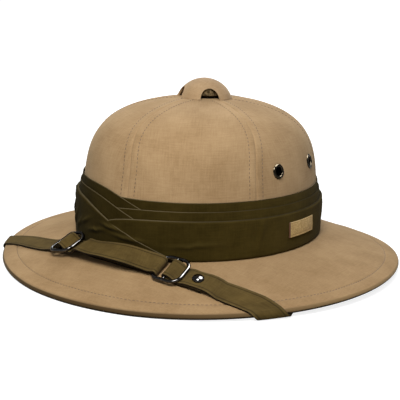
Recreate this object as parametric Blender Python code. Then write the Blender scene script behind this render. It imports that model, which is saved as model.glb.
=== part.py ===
"""A cloth-covered pith helmet that rests on its brim.

The crown is a hollow six-panel dome, the brim a sloping ring, and a pleated cotton band wraps the foot
of the crown and crosses itself at the front. A fabric chin strap lies over the front of the brim, with a
slide buckle, a strap ring and a rivet. Metres, +Z up. The wearer looks along -Y, and +X is the wearer's
left. Angles run from the front towards +X.
"""

import math

import bmesh
import bpy
from mathutils import Vector

MM = 0.001
GAP = 0.3 * MM  # clearance between pieces that touch

# Brim
BRIM_LENGTH = 330 * MM
BRIM_WIDTH = 322 * MM
BRIM_THICKNESS = 4.2 * MM
BRIM_DIP = 2.48 * MM  # the edge's waves: up at the sides, down at front and back
BRIM_REST = 0.35 * MM  # height of the waves that the two level resting places cut off
BRIM_LAND = 1.5 * MM  # width of the level strip under the edge, past its round part
BRIM_STEPS = 76
BRIM_EDGE_BENDS = 5  # faces round the edge

# Crown
CROWN_LENGTH = 213.2 * MM
CROWN_WIDTH = 184.2 * MM
CROWN_FORWARD = 3.2 * MM  # the crown stands this far in front of the brim's middle
CROWN_WALL = 3.0 * MM
CROWN_FOOT = 26.3 * MM
CROWN_SHOULDER = 41.0 * MM  # the wall stands upright up to here
CROWN_TOP = 133.5 * MM
CROWN_TAPER = 0.085
CROWN_FLATNESS = 5.35  # higher is flatter on top
CROWN_FULLNESS = 2.2  # higher is squarer at the shoulder
CROWN_STEPS = 60
CROWN_OUTER_RINGS = 14
CROWN_INNER_RINGS = 9
CROWN_SAMPLES = 400  # along the section, to space the rings evenly

# Ventilator cap
CAP_RADIUS = 21.6 * MM
CAP_TOP = 148.3 * MM
CAP_WALL = 2.2 * MM
ARCH_HALF_WIDTH = 8.0 * MM
ARCH_HEIGHT = 8.6 * MM
CAP_STEPS = 24
CAP_OUTER_RINGS = (0.2, 0.4, 0.6, 0.8, 1)  # shares of the way from the top down to the rim
CAP_INNER_RINGS = (1, 0.7, 0.4)
ARCH_ANGLES = (45, 135)  # each cutter makes two arches, opposite each other
ARCH_STEPS = 20

# Eyelets
EYELET_PLACES = {"front": (72.5, 87.2 * MM), "rear": (104.0, 89.2 * MM)}  # angle and height
EYELET_HOLE = 4.4 * MM  # radius of the hole in the crown
EYELET_BORE = 3.2 * MM
EYELET_BARREL = 4.0 * MM
EYELET_RIM = 6.1 * MM
EYELET_BACK = 5.5 * MM
EYELET_LIP = 1.6 * MM  # height of the rim above the crown
EYELET_INSIDE = CROWN_WALL + 1.1 * MM  # depth of the flange inside the crown
EYELET_ROLL = 0.9 * MM  # width of the rim's rounded parts
EYELET_SHEET = 0.8 * MM
EYELET_STEPS = 12

# Pleated band. Each pleat's upper edge stands at one height on the wearer's left, rises round the back and
# slopes down across the front from the wearer's right. "slope" is in metres per degree.
PLEATS = (
    # name, rows, height on the left, on the right, slope, slope starts at, droop at its start, outer offsets
    ("upper", 3, 67.9 * MM, 74.3 * MM, 0.78 * MM, -8.5, 0.0 * MM, (1.3 * MM, 2.3 * MM)),
    ("middle", 3, 61.6 * MM, 68.4 * MM, 0.80 * MM, -12.5, 2.4 * MM, (2.8 * MM, 3.0 * MM)),
    ("lower", 4, 55.1 * MM, 61.5 * MM, 0.80 * MM, -20.5, 4.6 * MM, (3.8 * MM, 3.6 * MM)),
)
PLEAT_INNER = 0.55 * MM
PLEAT_GAP = 0.5 * MM
PLEAT_STEPS = 62
PLEAT_BEND = 5.0  # degrees over which a slope starts
PLEAT_LEAST = 1.5 * MM  # height of a pleat where its two edges meet
PLEAT_RISE = (100, 290)  # degrees between which the pleats rise from the left's height to the right's
DROOP_LENGTH = 9  # degrees in which the droop at a pleat's start fades
DROOP_START = -4
PLEAT_ENDS = {
    # where each pleat's two ends are cut, in degrees, as (upper corner, lower corner)
    "upper": ((-0.6, 9.2), (366.2, 358.4)),
    "middle": ((-0.3, 7.6), (363.4, 354.0)),
    "lower": ((-3.4, 24.5), (380.3, 379.5)),
}

# Label patch
LABEL_LENGTH = 36 * MM
LABEL_HEIGHT = 11.4 * MM
LABEL_THICKNESS = 1.2 * MM
LABEL_ANGLE = 87.5
LABEL_MIDDLE = 42.0 * MM
LABEL_COLUMNS = 6

# Chin strap
STRAP_WIDTH = 17 * MM
STRAP_THICKNESS = 1.4 * MM
STRAP_INSIDE = 20 * MM  # length of each end that stands up inside the crown
STRAP_LEAN = 0.02 / MM  # how much more the raised run stands off the brim on its crown side
STRAP_TAB_ANGLE = 82.0  # where both ends are sewn in
STRAP_ROUTE = (
    # x, y of the middle line, and the side of the brim it lies on
    (-101.0 * MM, -33.0 * MM, "under"),
    (-118.0 * MM, -54.0 * MM, "under"),
    (-130.0 * MM, -78.0 * MM, "under"),
    (-118.0 * MM, -92.0 * MM, "top"),
    (-93.0 * MM, -100.0 * MM, "top"),
    (-52.0 * MM, -109.5 * MM, "top"),
    (-14.0 * MM, -118.2 * MM, "top"),
    (8.0 * MM, -119.4 * MM, "top"),
    (37.0 * MM, -114.0 * MM, "top"),
    (73.0 * MM, -111.0 * MM, "top"),
    (100.0 * MM, -110.5 * MM, "top"),
    (121.0 * MM, -94.0 * MM, "under"),
    (114.0 * MM, -62.0 * MM, "under"),
    (101.0 * MM, -35.0 * MM, "under"),
)
STRAP_LIES = GAP + STRAP_THICKNESS / 2  # height of the strap's middle where it lies on the brim
STRAP_SLACK = 0.5 * MM  # how much further it hangs from the brim's underside
STRAP_SWELL = 6.5 * MM
SLANT_START = -22 * MM  # walks between which its sections turn parallel to the brim's edge
SLANT_FULL = -4 * MM
SWELL_WALKS = (-26 * MM, -10 * MM, -9 * MM)  # the swell starts, is full and starts to fade
STRAP_ROWS = 12  # steps between two places of the route
FOLD = math.pi * (BRIM_THICKNESS / 2 + STRAP_LIES)  # length of the way round the brim's edge
FINE = 1.6 * MM  # steps along the strap at its folds
COARSE = 5 * MM  # and between them

# Strap hardware
SLIDER_X = -51.5 * MM
RING_X = 48.0 * MM
RIVET_X = 71.0 * MM
WIRE_RADIUS = 1.3 * MM
BAR_RADIUS = 0.9 * MM
FRAME_HALF_LENGTH = 10.5 * MM
FRAME_HALF_WIDTH = 11.0 * MM
FRAME_CORNER = 5.5 * MM
RIVET_HEAD_RADIUS = 4.6 * MM
RIVET_HEAD_HEIGHT = 2.2 * MM
RIVET_SHANK_RADIUS = 1.7 * MM
RIVET_BACK_RADIUS = 3.5 * MM
RIVET_BACK = 0.8 * MM  # thickness
RIVET_RIM = 0.5 * MM  # height of the head's straight side
RIVET_STEPS = 12
WIRE_SEAT = WIRE_RADIUS + GAP + STRAP_THICKNESS / 2
BAR_SEAT = BAR_RADIUS + GAP + STRAP_THICKNESS / 2
DOUBLE = STRAP_THICKNESS + GAP  # from the middle of one layer to the middle of the next
LOW_WIRE = STRAP_LIES + WIRE_SEAT  # height of a wire that holds down or carries one layer
HIGH_WIRE = LOW_WIRE + DOUBLE  # height of a wire over two layers
BAR_HEIGHT = (LOW_WIRE + HIGH_WIRE) / 2
HOVER = 9.4 * MM  # height of the raised run's middle at its highest
HOVER_X = 2 * MM
LOOP_SLACK = 1.1 * MM  # the fold round the ring stands off the wire, whose corners are round
CREST_SLACK = 0.35 * MM  # how far the upper layer clears the fold on the slider's bar
WIRE_SIDES = 8
CORNER_BENDS = 4

UP = Vector((0, 0, 1))


def clear_scene():
    for thing in list(bpy.data.objects):
        bpy.data.objects.remove(thing)


def material(name, colour, roughness, metallic=0.0):
    made = bpy.data.materials.new(name)
    made.use_nodes = True
    shader = made.node_tree.nodes["Principled BSDF"]
    shader.inputs["Base Color"].default_value = (*colour, 1.0)
    shader.inputs["Roughness"].default_value = roughness
    shader.inputs["Metallic"].default_value = metallic
    return made


def add_object(name, mesh_data, finish, sharp_degrees=35.0):
    """An object from a bmesh, shaded smooth except across sharp corners."""
    mesh = bpy.data.meshes.new(name)
    mesh_data.to_mesh(mesh)
    mesh_data.free()
    mesh.shade_smooth()
    mesh.set_sharp_from_angle(angle=math.radians(sharp_degrees))
    made = bpy.data.objects.new(name, mesh)
    bpy.context.scene.collection.objects.link(made)
    if finish:
        mesh.materials.append(finish)
    return made


def skin(sections, closed_run):
    """A closed body from equal closed sections. The run itself may be closed, or its two ends are capped."""
    made = bmesh.new()
    rows = [[made.verts.new(point) for point in section] for section in sections]
    count = len(rows[0])
    pairs = list(zip(rows, rows[1:]))
    if closed_run:
        pairs.append((rows[-1], rows[0]))
    for here, there in pairs:
        for i in range(count):
            j = (i + 1) % count
            made.faces.new((here[i], here[j], there[j], there[i]))
    if not closed_run:
        made.faces.new(rows[0])
        made.faces.new(rows[-1])
    bmesh.ops.recalc_face_normals(made, faces=made.faces)
    return made


def smooth_step(value, low, high):
    share = min(max((value - low) / (high - low), 0.0), 1.0)
    return share * share * (3 - 2 * share)


def curve_through(rows, steps):
    """Points on a smooth curve through the rows, with equal steps between each pair."""
    ends = [2 * rows[0] - rows[1]] + list(rows) + [2 * rows[-1] - rows[-2]]
    points = []
    for before, start, end, after in zip(ends, ends[1:], ends[2:], ends[3:]):
        for step in range(steps):
            t = step / steps
            points.append(
                0.5
                * (
                    2 * start
                    + (end - before) * t
                    + (2 * before - 5 * start + 4 * end - after) * t * t
                    + (3 * start - before - 3 * end + after) * t**3
                )
            )
    points.append(rows[-1].copy())
    return points


def oval(half_length, half_width, degrees, middle_y=0.0, height=0.0):
    """The point of an ellipse in the direction of an angle that runs from the front towards +X."""
    turn = math.radians(degrees)
    reach = 1 / math.hypot(math.sin(turn) / half_width, math.cos(turn) / half_length)
    return Vector((reach * math.sin(turn), middle_y - reach * math.cos(turn), height))


def crown_share(height):
    """The crown's size at a height, as a share of its size at the foot."""
    rise = max(height - CROWN_SHOULDER, 0.0) / (CROWN_TOP - CROWN_SHOULDER)
    dome = max(1 - rise**CROWN_FLATNESS, 0.0) ** (1 / CROWN_FULLNESS)
    return (1 - CROWN_TAPER * rise) * dome


def crown_point(degrees, height, offset=0.0):
    """A point on the crown's outer side, or that far outside it."""
    share = crown_share(height)
    point = oval(CROWN_LENGTH / 2 * share, CROWN_WIDTH / 2 * share, degrees, -CROWN_FORWARD, height)
    return point + crown_normal(degrees, height) * offset


def crown_normal(degrees, height):
    step = 0.2 * MM
    low = min(height, CROWN_TOP - 2 * step)
    axes = [CROWN_LENGTH / 2, CROWN_WIDTH / 2]

    def at(angle, level):
        share = crown_share(level)
        return oval(axes[0] * share, axes[1] * share, angle, 0.0, level)

    along = at(degrees + 0.5, low) - at(degrees - 0.5, low)
    rising = at(degrees, low + step) - at(degrees, low - step)
    return along.cross(rising).normalized()


def crown_height_at(x, y):
    """The height of the crown's top over a point of the plan."""
    wanted = math.hypot(x / (CROWN_WIDTH / 2), (y + CROWN_FORWARD) / (CROWN_LENGTH / 2))
    low, high = CROWN_SHOULDER, CROWN_TOP
    for _ in range(50):
        middle = (low + high) / 2
        if crown_share(middle) > wanted:
            low = middle
        else:
            high = middle
    return low


def crown_profile(rings):
    """Heights from the foot to just below the top, an equal distance apart along the crown's section."""
    mean_radius = (CROWN_LENGTH + CROWN_WIDTH) / 4
    samples = []
    for i in range(CROWN_SAMPLES + 1):
        height = CROWN_FOOT + (CROWN_TOP - CROWN_FOOT) * (1 - (1 - i / CROWN_SAMPLES) ** 3)
        samples.append((mean_radius * crown_share(height), height))
    lengths = [0.0]
    for (r0, z0), (r1, z1) in zip(samples, samples[1:]):
        lengths.append(lengths[-1] + math.hypot(r1 - r0, z1 - z0))
    heights = []
    for ring in range(rings):
        wanted = lengths[-1] * ring / rings
        index = next(i for i, length in enumerate(lengths) if length >= wanted)
        heights.append(samples[index][1])
    return heights


def brim_section(degrees):
    """The brim's upper side at the crown, the middle of its round edge, the way out, and its normal."""
    half = BRIM_THICKNESS / 2
    wave = BRIM_DIP * (1 - math.cos(2 * math.radians(degrees)))
    height = half + max(wave - BRIM_REST, 0.0)
    foot = oval(CROWN_LENGTH / 2, CROWN_WIDTH / 2, degrees, -CROWN_FORWARD, CROWN_FOOT - GAP)
    edge = oval(BRIM_LENGTH / 2 - half, BRIM_WIDTH / 2 - half, degrees, 0.0, height)
    normal = UP
    for _ in range(5):
        way_out = (edge + normal * half - foot).normalized()
        normal = (UP - way_out * UP.dot(way_out)).normalized()
    return foot, edge, way_out, normal


def inner_corner(degrees):
    """The brim's lower inner corner, under the crown's wall, and the level way out there."""
    foot, _, way_out, normal = brim_section(degrees)
    level_out = Vector((way_out.x, way_out.y, 0)).normalized()
    below = foot - normal * BRIM_THICKNESS
    inner = oval(CROWN_LENGTH / 2 - CROWN_WALL, CROWN_WIDTH / 2 - CROWN_WALL, degrees, -CROWN_FORWARD, foot.z)
    reach = (below - inner).dot(level_out) / way_out.dot(level_out)
    return below - way_out * reach, level_out


def crown():
    """A closed dome with walls of one thickness and a hole for each eyelet."""
    outer_heights = crown_profile(CROWN_OUTER_RINGS)
    inner_heights = crown_profile(CROWN_INNER_RINGS)
    turns = [360 * i / CROWN_STEPS for i in range(CROWN_STEPS)]
    rings = [[crown_point(turn, height, -CROWN_WALL) for turn in turns] for height in inner_heights]
    rings.reverse()
    rings += [[crown_point(turn, height) for turn in turns] for height in outer_heights]
    made = bmesh.new()
    rows = [[made.verts.new(point) for point in ring] for ring in rings]
    for here, there in zip(rows, rows[1:]):
        for i in range(CROWN_STEPS):
            j = (i + 1) % CROWN_STEPS
            made.faces.new((here[i], here[j], there[j], there[i]))
    for row, height in ((rows[0], CROWN_TOP - CROWN_WALL), (rows[-1], CROWN_TOP)):
        top = made.verts.new((0, -CROWN_FORWARD, height))
        for i in range(CROWN_STEPS):
            made.faces.new((row[i], row[(i + 1) % CROWN_STEPS], top))
    bmesh.ops.recalc_face_normals(made, faces=made.faces)
    dome = add_object("crown", made, tan_cloth)
    for side in (-1, 1):
        for angle, height in EYELET_PLACES.values():
            punch(dome, eyelet_matrix(side * angle, height), EYELET_HOLE, 3 * CROWN_WALL, EYELET_STEPS)


def eyelet_matrix(degrees, height):
    """The frame of an eyelet: its middle on the crown's outer side and its Z axis straight out."""
    place = crown_point(degrees, height)
    frame = crown_normal(degrees, height).to_track_quat("Z", "Y").to_matrix().to_4x4()
    frame.translation = place
    return frame


def punch(target, frame, radius, half_depth, steps, stretch=1.0):
    """Cuts a round hole along the frame's Z axis. Stretch makes it oval along the frame's Y axis."""
    made = bmesh.new()
    bmesh.ops.create_cone(
        made, cap_ends=True, segments=steps, radius1=radius, radius2=radius, depth=2 * half_depth
    )
    bmesh.ops.scale(made, vec=(1, stretch, 1), verts=made.verts)
    bmesh.ops.transform(made, matrix=frame, verts=made.verts)
    cutter = add_object(target.name + "_cutter", made, None)
    cutter.hide_render = True
    cutter.display_type = "WIRE"
    cut = target.modifiers.new("hole", "BOOLEAN")
    cut.operation = "DIFFERENCE"
    cut.solver = "EXACT"
    cut.object = cutter


def brim():
    """A ring with a level flange under the crown's wall, a straight slope and a round edge."""
    half = BRIM_THICKNESS / 2
    sections = []
    for step in range(BRIM_STEPS):
        turn = 360 * step / BRIM_STEPS
        foot, edge, way_out, normal = brim_section(turn)
        corner, level_out = inner_corner(turn)
        tilt = math.asin(-way_out.z)
        section = [Vector((corner.x, corner.y, foot.z)), foot]
        for bend in range(BRIM_EDGE_BENDS + 1):
            around = tilt + (math.pi - tilt) * bend / BRIM_EDGE_BENDS
            section.append(edge + (level_out * math.sin(around) + UP * math.cos(around)) * half)
        section.append(edge - UP * half - level_out * BRIM_LAND)
        section.append(edge - normal * half - way_out * 4 * BRIM_LAND)
        section.append(corner)
        sections.append(section)
    add_object("brim", skin(sections, True), tan_cloth)


def ventilator_cap():
    """A shallow dome on the crown's top, with four arched vents in its rim."""
    base = crown_height_at(CAP_RADIUS, -CROWN_FORWARD) + GAP
    rise = CAP_TOP - base
    ball = (CAP_RADIUS**2 + rise**2) / (2 * rise)
    centre = CAP_TOP - ball
    widest = math.asin(CAP_RADIUS / ball)
    turns = [360 * i / CAP_STEPS for i in range(CAP_STEPS)]

    def ring(radius, share, seated):
        lean = widest * share
        points = []
        for turn in turns:
            reach, height = radius * math.sin(lean), centre + radius * math.cos(lean)
            point = oval(reach, reach, turn, -CROWN_FORWARD, height)
            if seated:
                point.z = crown_height_at(point.x, point.y) + GAP
            points.append(point)
        return points

    outer = [ring(ball, share, share == 1) for share in CAP_OUTER_RINGS]
    inner = [ring(ball - CAP_WALL, share, share == 1) for share in CAP_INNER_RINGS]
    made = bmesh.new()
    rows = [[made.verts.new(point) for point in points] for points in outer + inner]
    for here, there in zip(rows, rows[1:]):
        for i in range(CAP_STEPS):
            j = (i + 1) % CAP_STEPS
            made.faces.new((here[i], here[j], there[j], there[i]))
    for row, height in ((rows[0], CAP_TOP), (rows[-1], CAP_TOP - CAP_WALL)):
        top = made.verts.new((0, -CROWN_FORWARD, height))
        for i in range(CAP_STEPS):
            made.faces.new((row[i], row[(i + 1) % CAP_STEPS], top))
    bmesh.ops.recalc_face_normals(made, faces=made.faces)
    cap = add_object("ventilator_cap", made, tan_cloth)
    for turn in ARCH_ANGLES:
        level = oval(1, 1, turn).to_track_quat("Z", "Y").to_matrix().to_4x4()
        level.translation = Vector((0, -CROWN_FORWARD, base))
        punch(cap, level, ARCH_HALF_WIDTH, 2 * CAP_RADIUS, ARCH_STEPS, ARCH_HEIGHT / ARCH_HALF_WIDTH)


def eyelet(name, degrees, height):
    """A rolled metal eyelet: an outer rim, a barrel through the wall and a flange inside."""
    profile = (
        # radius, height above the crown
        (EYELET_BORE, EYELET_SHEET),
        (EYELET_BORE + EYELET_ROLL, EYELET_LIP),
        (EYELET_RIM - EYELET_ROLL, EYELET_LIP),
        (EYELET_RIM, EYELET_ROLL),
        (EYELET_RIM - 0.2 * MM, GAP),
        (EYELET_BARREL, GAP),
        (EYELET_BARREL, -EYELET_INSIDE),
        (EYELET_BACK, -EYELET_INSIDE),
        (EYELET_BACK, -EYELET_INSIDE - EYELET_SHEET),
        (EYELET_BORE, -EYELET_INSIDE - EYELET_SHEET),
    )
    sections = []
    for step in range(EYELET_STEPS):
        turn = 2 * math.pi * step / EYELET_STEPS
        sections.append([Vector((r * math.cos(turn), r * math.sin(turn), h)) for r, h in profile])
    made = skin(sections, True)
    bmesh.ops.transform(made, matrix=eyelet_matrix(degrees, height), verts=made.verts)
    add_object(name, made, eyelet_metal)


def pleat_height(index, degrees):
    """Height of a pleat's upper edge. Index 3 is the lower edge of the band."""
    if index == len(PLEATS):
        return CROWN_FOOT + GAP
    _, _, left, right, slope, start, droop, _ = PLEATS[index]
    level = left + (right - left) * smooth_step(degrees, *PLEAT_RISE)
    if degrees < 180:
        return level - droop * math.exp((DROOP_START - degrees) / DROOP_LENGTH)
    past = (degrees - 360 - start) / PLEAT_BEND
    return level - slope * PLEAT_BEND * math.log1p(math.exp(past))


def pleat(index):
    """One long fold of the band, from its tucked start at the front, round the crown, to its sloping end."""
    name, rows, *_, (offset_top, offset_bottom) = PLEATS[index]
    (start_top, start_bottom), (end_top, end_bottom) = PLEAT_ENDS[name]
    sections = []
    for step in range(PLEAT_STEPS + 1):
        share = step / PLEAT_STEPS
        upper = start_top + (end_top - start_top) * share
        lower = start_bottom + (end_bottom - start_bottom) * share
        top = pleat_height(index, upper)
        bottom = pleat_height(index + 1, lower) + PLEAT_GAP
        top = max(top, bottom + PLEAT_LEAST)
        outer, inner = [], []
        for row in range(rows):
            down = row / (rows - 1)
            turn = upper + (lower - upper) * down
            height = top + (bottom - top) * down
            offset = offset_top + (offset_bottom - offset_top) * down
            outer.append(crown_point(turn, height, offset))
            inner.append(crown_point(turn, height, PLEAT_INNER))
        sections.append(outer + inner[::-1])
    add_object("puggaree_" + name, skin(sections, False), olive_cotton)


def label_patch():
    """A small blank patch on the band, on the wearer's left."""
    offset = PLEATS[2][-1][0] + GAP
    arc = math.degrees(LABEL_LENGTH / (CROWN_WIDTH / 2 + offset))
    low, high = LABEL_MIDDLE - LABEL_HEIGHT / 2, LABEL_MIDDLE + LABEL_HEIGHT / 2
    sections = []
    for column in range(LABEL_COLUMNS + 1):
        turn = LABEL_ANGLE + arc * (column / LABEL_COLUMNS - 0.5)
        sections.append(
            [
                crown_point(turn, low, offset),
                crown_point(turn, low, offset + LABEL_THICKNESS),
                crown_point(turn, high, offset + LABEL_THICKNESS),
                crown_point(turn, high, offset),
            ]
        )
    add_object("label_patch", skin(sections, False), label_cork)


# The chin strap's line is kept as (angle, walk): the walk runs down the brim's upper side to 0 where its
# round edge starts, round the edge, along the underside and up inside the crown.


def walk_to_corner(degrees):
    _, edge, way_out, _ = brim_section(degrees)
    return FOLD + (edge - inner_corner(degrees)[0]).dot(way_out)


def walk_point(degrees, walk, lift):
    """The point that lies a lift away from the brim's or the crown's surface, a walk along its section."""
    _, edge, way_out, normal = brim_section(degrees)
    lift += STRAP_SLACK * min(max(walk / FOLD, 0.0), 1.0)
    if walk < FOLD:
        turn = math.pi * max(walk, 0.0) / FOLD
        out = way_out * math.sin(turn) + normal * math.cos(turn)
        return edge + way_out * min(walk, 0.0) + out * (BRIM_THICKNESS / 2 + lift)
    past = walk - walk_to_corner(degrees)
    corner, level_out = inner_corner(degrees)
    if past < 0:
        return corner - normal * lift - way_out * past
    radius = STRAP_LIES + STRAP_SLACK
    quarter = math.acos(-way_out.z)
    turn = min(past / radius, quarter)
    bent = corner - (normal * math.cos(turn) + way_out * math.sin(turn)) * lift
    return bent + UP * max(past - quarter * radius, 0.0)


def walk_of(x, y, side):
    """The (angle, walk) of a point of the plan on the brim's upper or under side."""
    degrees = math.degrees(math.atan2(x, -y))
    for _ in range(20):
        foot, edge, way_out, _ = brim_section(degrees)
        level = Vector((way_out.x, way_out.y))
        inward = (Vector((edge.x, edge.y)) - Vector((x, y))).dot(level) / level.dot(level)
        reached = edge - way_out * inward
        off = math.atan2(x, -y) - math.atan2(reached.x, -reached.y)
        degrees += math.degrees(off)
    return Vector((degrees, -inward if side == "top" else FOLD + inward))


class StrapLine:
    """The strap's middle line on the hat, read by the distance along it."""

    def __init__(self):
        rows = [walk_of(*row) for row in STRAP_ROUTE]
        for side, place in ((-1, 0), (1, len(rows) + 1)):
            angle = side * STRAP_TAB_ANGLE
            rows.insert(place, Vector((angle, walk_to_corner(angle) + STRAP_INSIDE)))
        self.rows = curve_through(rows, STRAP_ROWS)
        self.points = [walk_point(row[0], row[1], STRAP_LIES) for row in self.rows]
        self.lengths = [0.0]
        for here, there in zip(self.points, self.points[1:]):
            self.lengths.append(self.lengths[-1] + (there - here).length)
        self.length = self.lengths[-1]

    def at_x(self, x):
        """The distance along the line where its upper stretch crosses an x."""
        for index, (here, there) in enumerate(zip(self.points, self.points[1:])):
            if self.rows[index][1] <= 0 and here.x <= x < there.x:
                share = (x - here.x) / (there.x - here.x)
                return self.lengths[index] + share * (self.lengths[index + 1] - self.lengths[index])
        return 0.0

    def at_walk(self, walk, last):
        """The distance where the line first, or last, crosses a walk."""
        found = [0.0]
        for index, (here, there) in enumerate(zip(self.rows, self.rows[1:])):
            low, high = sorted((here[1], there[1]))
            if low <= walk < high:
                share = (walk - here[1]) / (there[1] - here[1])
                found.append(self.lengths[index] + share * (self.lengths[index + 1] - self.lengths[index]))
        return found[-1] if last else found[1]

    def chart(self, distance):
        distance = min(max(distance, 0.0), self.length)
        index = 0
        while index < len(self.lengths) - 2 and self.lengths[index + 1] < distance:
            index += 1
        span = self.lengths[index + 1] - self.lengths[index]
        return self.rows[index].lerp(self.rows[index + 1], (distance - self.lengths[index]) / span)

    def point(self, distance, across, lift):
        """A point beside the line. Across is positive on the crown's side of the upper stretch."""
        row = self.chart(distance)
        reach = 1.5 * MM
        ahead = self.chart(distance + reach) - self.chart(distance - reach)
        near, far = (walk_point(row[0] + half, row[1], STRAP_LIES) for half in (-0.5, 0.5))
        degree = (far - near).length
        run = Vector((ahead[0] * degree, ahead[1])).normalized()
        slant = smooth_step(row[1], SLANT_START, SLANT_FULL)
        shift = slant * across * run[0] / run[1] if slant else 0.0
        beside = Vector((row[0] + (run[1] * across + run[0] * shift) / degree, row[1]))
        beside[1] += run[1] * shift - run[0] * across
        lean = (lift - STRAP_LIES) * STRAP_LEAN * self.raised(distance) * across
        swell = self.swell(distance, row[1]) * (1 + across / (STRAP_WIDTH / 2)) / 2
        return walk_point(beside[0], beside[1], lift + lean + swell)

    def raised(self, distance):
        """1 along the raised run between the buckles, and 0 at them and beyond them."""
        ease, clear = 8 * MM, 15 * MM
        start, end = self.at_x(SLIDER_X) + clear, self.at_x(RING_X) - clear
        rising = smooth_step(distance, start, start + ease)
        return rising * (1 - smooth_step(distance, end - ease, end))

    def swell(self, distance, walk):
        """How far the strap's crown side stands up before it folds over the edge on the wearer's left."""
        if distance < self.length / 2:
            return 0.0
        start, full, fade = SWELL_WALKS
        return STRAP_SWELL * smooth_step(walk, start, full) * (1 - smooth_step(walk, fade, FOLD / 2))


def ribbon(name, line, profile):
    """A flat strap whose side view is the profile: (distance, lift) pairs of its middle."""
    half = STRAP_THICKNESS / 2
    edge = STRAP_WIDTH / 2
    sections = []
    for index, here in enumerate(profile):
        ahead = profile[min(index + 1, len(profile) - 1)]
        behind = profile[max(index - 1, 0)]
        run = (ahead - behind).normalized()
        side = Vector((-run[1], run[0])) * half
        upper = [line.point((here + side)[0], across, (here + side)[1]) for across in (-edge, 0, edge)]
        lower = [line.point((here - side)[0], across, (here - side)[1]) for across in (edge, 0, -edge)]
        sections.append(upper + lower)
    return add_object(name, skin(sections, False), olive_webbing)


def loop_round(centre, radius, start, end, steps):
    """Part of a circle in the strap's side view. Angles in degrees, 0 ahead and 90 up."""
    turns = [math.radians(start + (end - start) * i / steps) for i in range(steps + 1)]
    return [centre + Vector((math.cos(turn), math.sin(turn))) * radius for turn in turns]


def spread(start, end, step):
    """Distances from start to end, about a step apart, without the end."""
    count = max(int(abs(end - start) / step), 1)
    return [start + (end - start) * i / count for i in range(count)]


def end_stretch(line, last):
    """Side view of one end: up inside the crown, along the brim's underside and round its edge."""
    corner = walk_to_corner(line.rows[-1 if last else 0][0])
    bend = STRAP_LIES + STRAP_SLACK
    walks = [corner + STRAP_INSIDE - 0.01 * MM, corner + STRAP_INSIDE * 0.55, corner + 2.5 * bend]
    walks += [corner + bend * share for share in (1.5, 1.0, 0.5, 0.0, -1.0)]
    walks += [FOLD + (corner - FOLD) * share for share in (0.85, 0.7, 0.5, 0.35, 0.2, 0.08)]
    walks += [FOLD * step / 8 for step in range(8, -1, -1)]
    walks += [SLANT_START * share for share in (0.15, 0.35, 0.6, 0.8, 1.0)]
    profile = [Vector((line.at_walk(walk, last), STRAP_LIES)) for walk in walks]
    return profile[::-1] if last else profile



def eased(start, end, low, high, step):
    """Profile points from (start, low) to (end, high) along an S-shaped rise."""
    points = []
    for distance in spread(start, end, step):
        share = (distance - start) / (end - start)
        points.append(Vector((distance, low + (high - low) * (0.5 - 0.5 * math.cos(math.pi * share)))))
    return points


def right_strap(line):
    """From the wearer's right temple, through the slider, to the ring, and doubled back to the slider."""
    slider, ring = line.at_x(SLIDER_X), line.at_x(RING_X)
    wire = ring - FRAME_HALF_LENGTH
    crest = BAR_HEIGHT + BAR_SEAT + DOUBLE + CREST_SLACK
    under_first = slider - FRAME_HALF_LENGTH
    under_second = slider + FRAME_HALF_LENGTH
    profile = end_stretch(line, False)
    profile += [Vector((d, STRAP_LIES)) for d in spread(profile[-1][0] + COARSE, under_first, COARSE)]
    profile += eased(under_first + 1 * MM, slider, STRAP_LIES, crest, FINE)
    profile += eased(slider, under_second - 1 * MM, crest, STRAP_LIES + DOUBLE, FINE)
    profile += [Vector((under_second, STRAP_LIES + DOUBLE))]
    hover = line.at_x(HOVER_X)
    profile += eased(under_second + 2 * MM, hover, STRAP_LIES + DOUBLE, HOVER, 4 * MM)
    profile += eased(hover, wire, HOVER, LOW_WIRE + WIRE_SEAT, COARSE)
    profile += loop_round(Vector((wire + LOOP_SLACK, LOW_WIRE)), WIRE_SEAT, 90, -90, 8)
    profile += [Vector((d, STRAP_LIES)) for d in spread(wire - 2 * MM, under_second - 2 * MM, COARSE)]
    profile += eased(under_second - 2 * MM, slider, STRAP_LIES, BAR_HEIGHT - BAR_SEAT, FINE)
    profile += loop_round(Vector((slider, BAR_HEIGHT)), BAR_SEAT, -90, -285, 9)
    ribbon("chin_strap_right", line, profile)


def left_strap(line):
    """Folded round the ring's bar, riveted to itself, then over the brim's edge to the left temple."""
    ring, rivet = line.at_x(RING_X), line.at_x(RIVET_X)
    lower, upper = rivet_layers()
    wire = ring + FRAME_HALF_LENGTH
    settled = rivet + 16 * MM
    profile = [Vector((d, lower)) for d in spread(rivet + 7 * MM, rivet - 5 * MM, 3 * MM)]
    profile += eased(rivet - 5 * MM, wire + 1 * MM, lower, STRAP_LIES, 2 * MM)
    profile += eased(wire - 1 * MM, ring, STRAP_LIES, BAR_HEIGHT - BAR_SEAT, FINE)
    profile += loop_round(Vector((ring, BAR_HEIGHT)), BAR_SEAT, -90, -270, 8)
    profile += eased(ring + 1 * MM, wire - 1 * MM, BAR_HEIGHT + BAR_SEAT, STRAP_LIES + DOUBLE, FINE)
    profile += eased(wire, rivet - 5 * MM, STRAP_LIES + DOUBLE, upper, FINE)
    profile += [Vector((d, upper)) for d in spread(rivet - 5 * MM, rivet + 7.5 * MM, 3 * MM)]
    profile += eased(rivet + 7.5 * MM, settled, upper, STRAP_LIES, 2 * MM)
    end = end_stretch(line, True)
    profile += [Vector((d, STRAP_LIES)) for d in spread(settled, end[0][0], COARSE)]
    profile += end
    strap = ribbon("chin_strap_left", line, profile)
    punch(strap, rivet_matrix(line), RIVET_SHANK_RADIUS + GAP, 12 * MM, RIVET_STEPS)


def rivet_layers():
    """Heights of the two layers of strap that the rivet holds."""
    lower = GAP + RIVET_BACK + STRAP_LIES
    return lower, lower + DOUBLE


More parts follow.
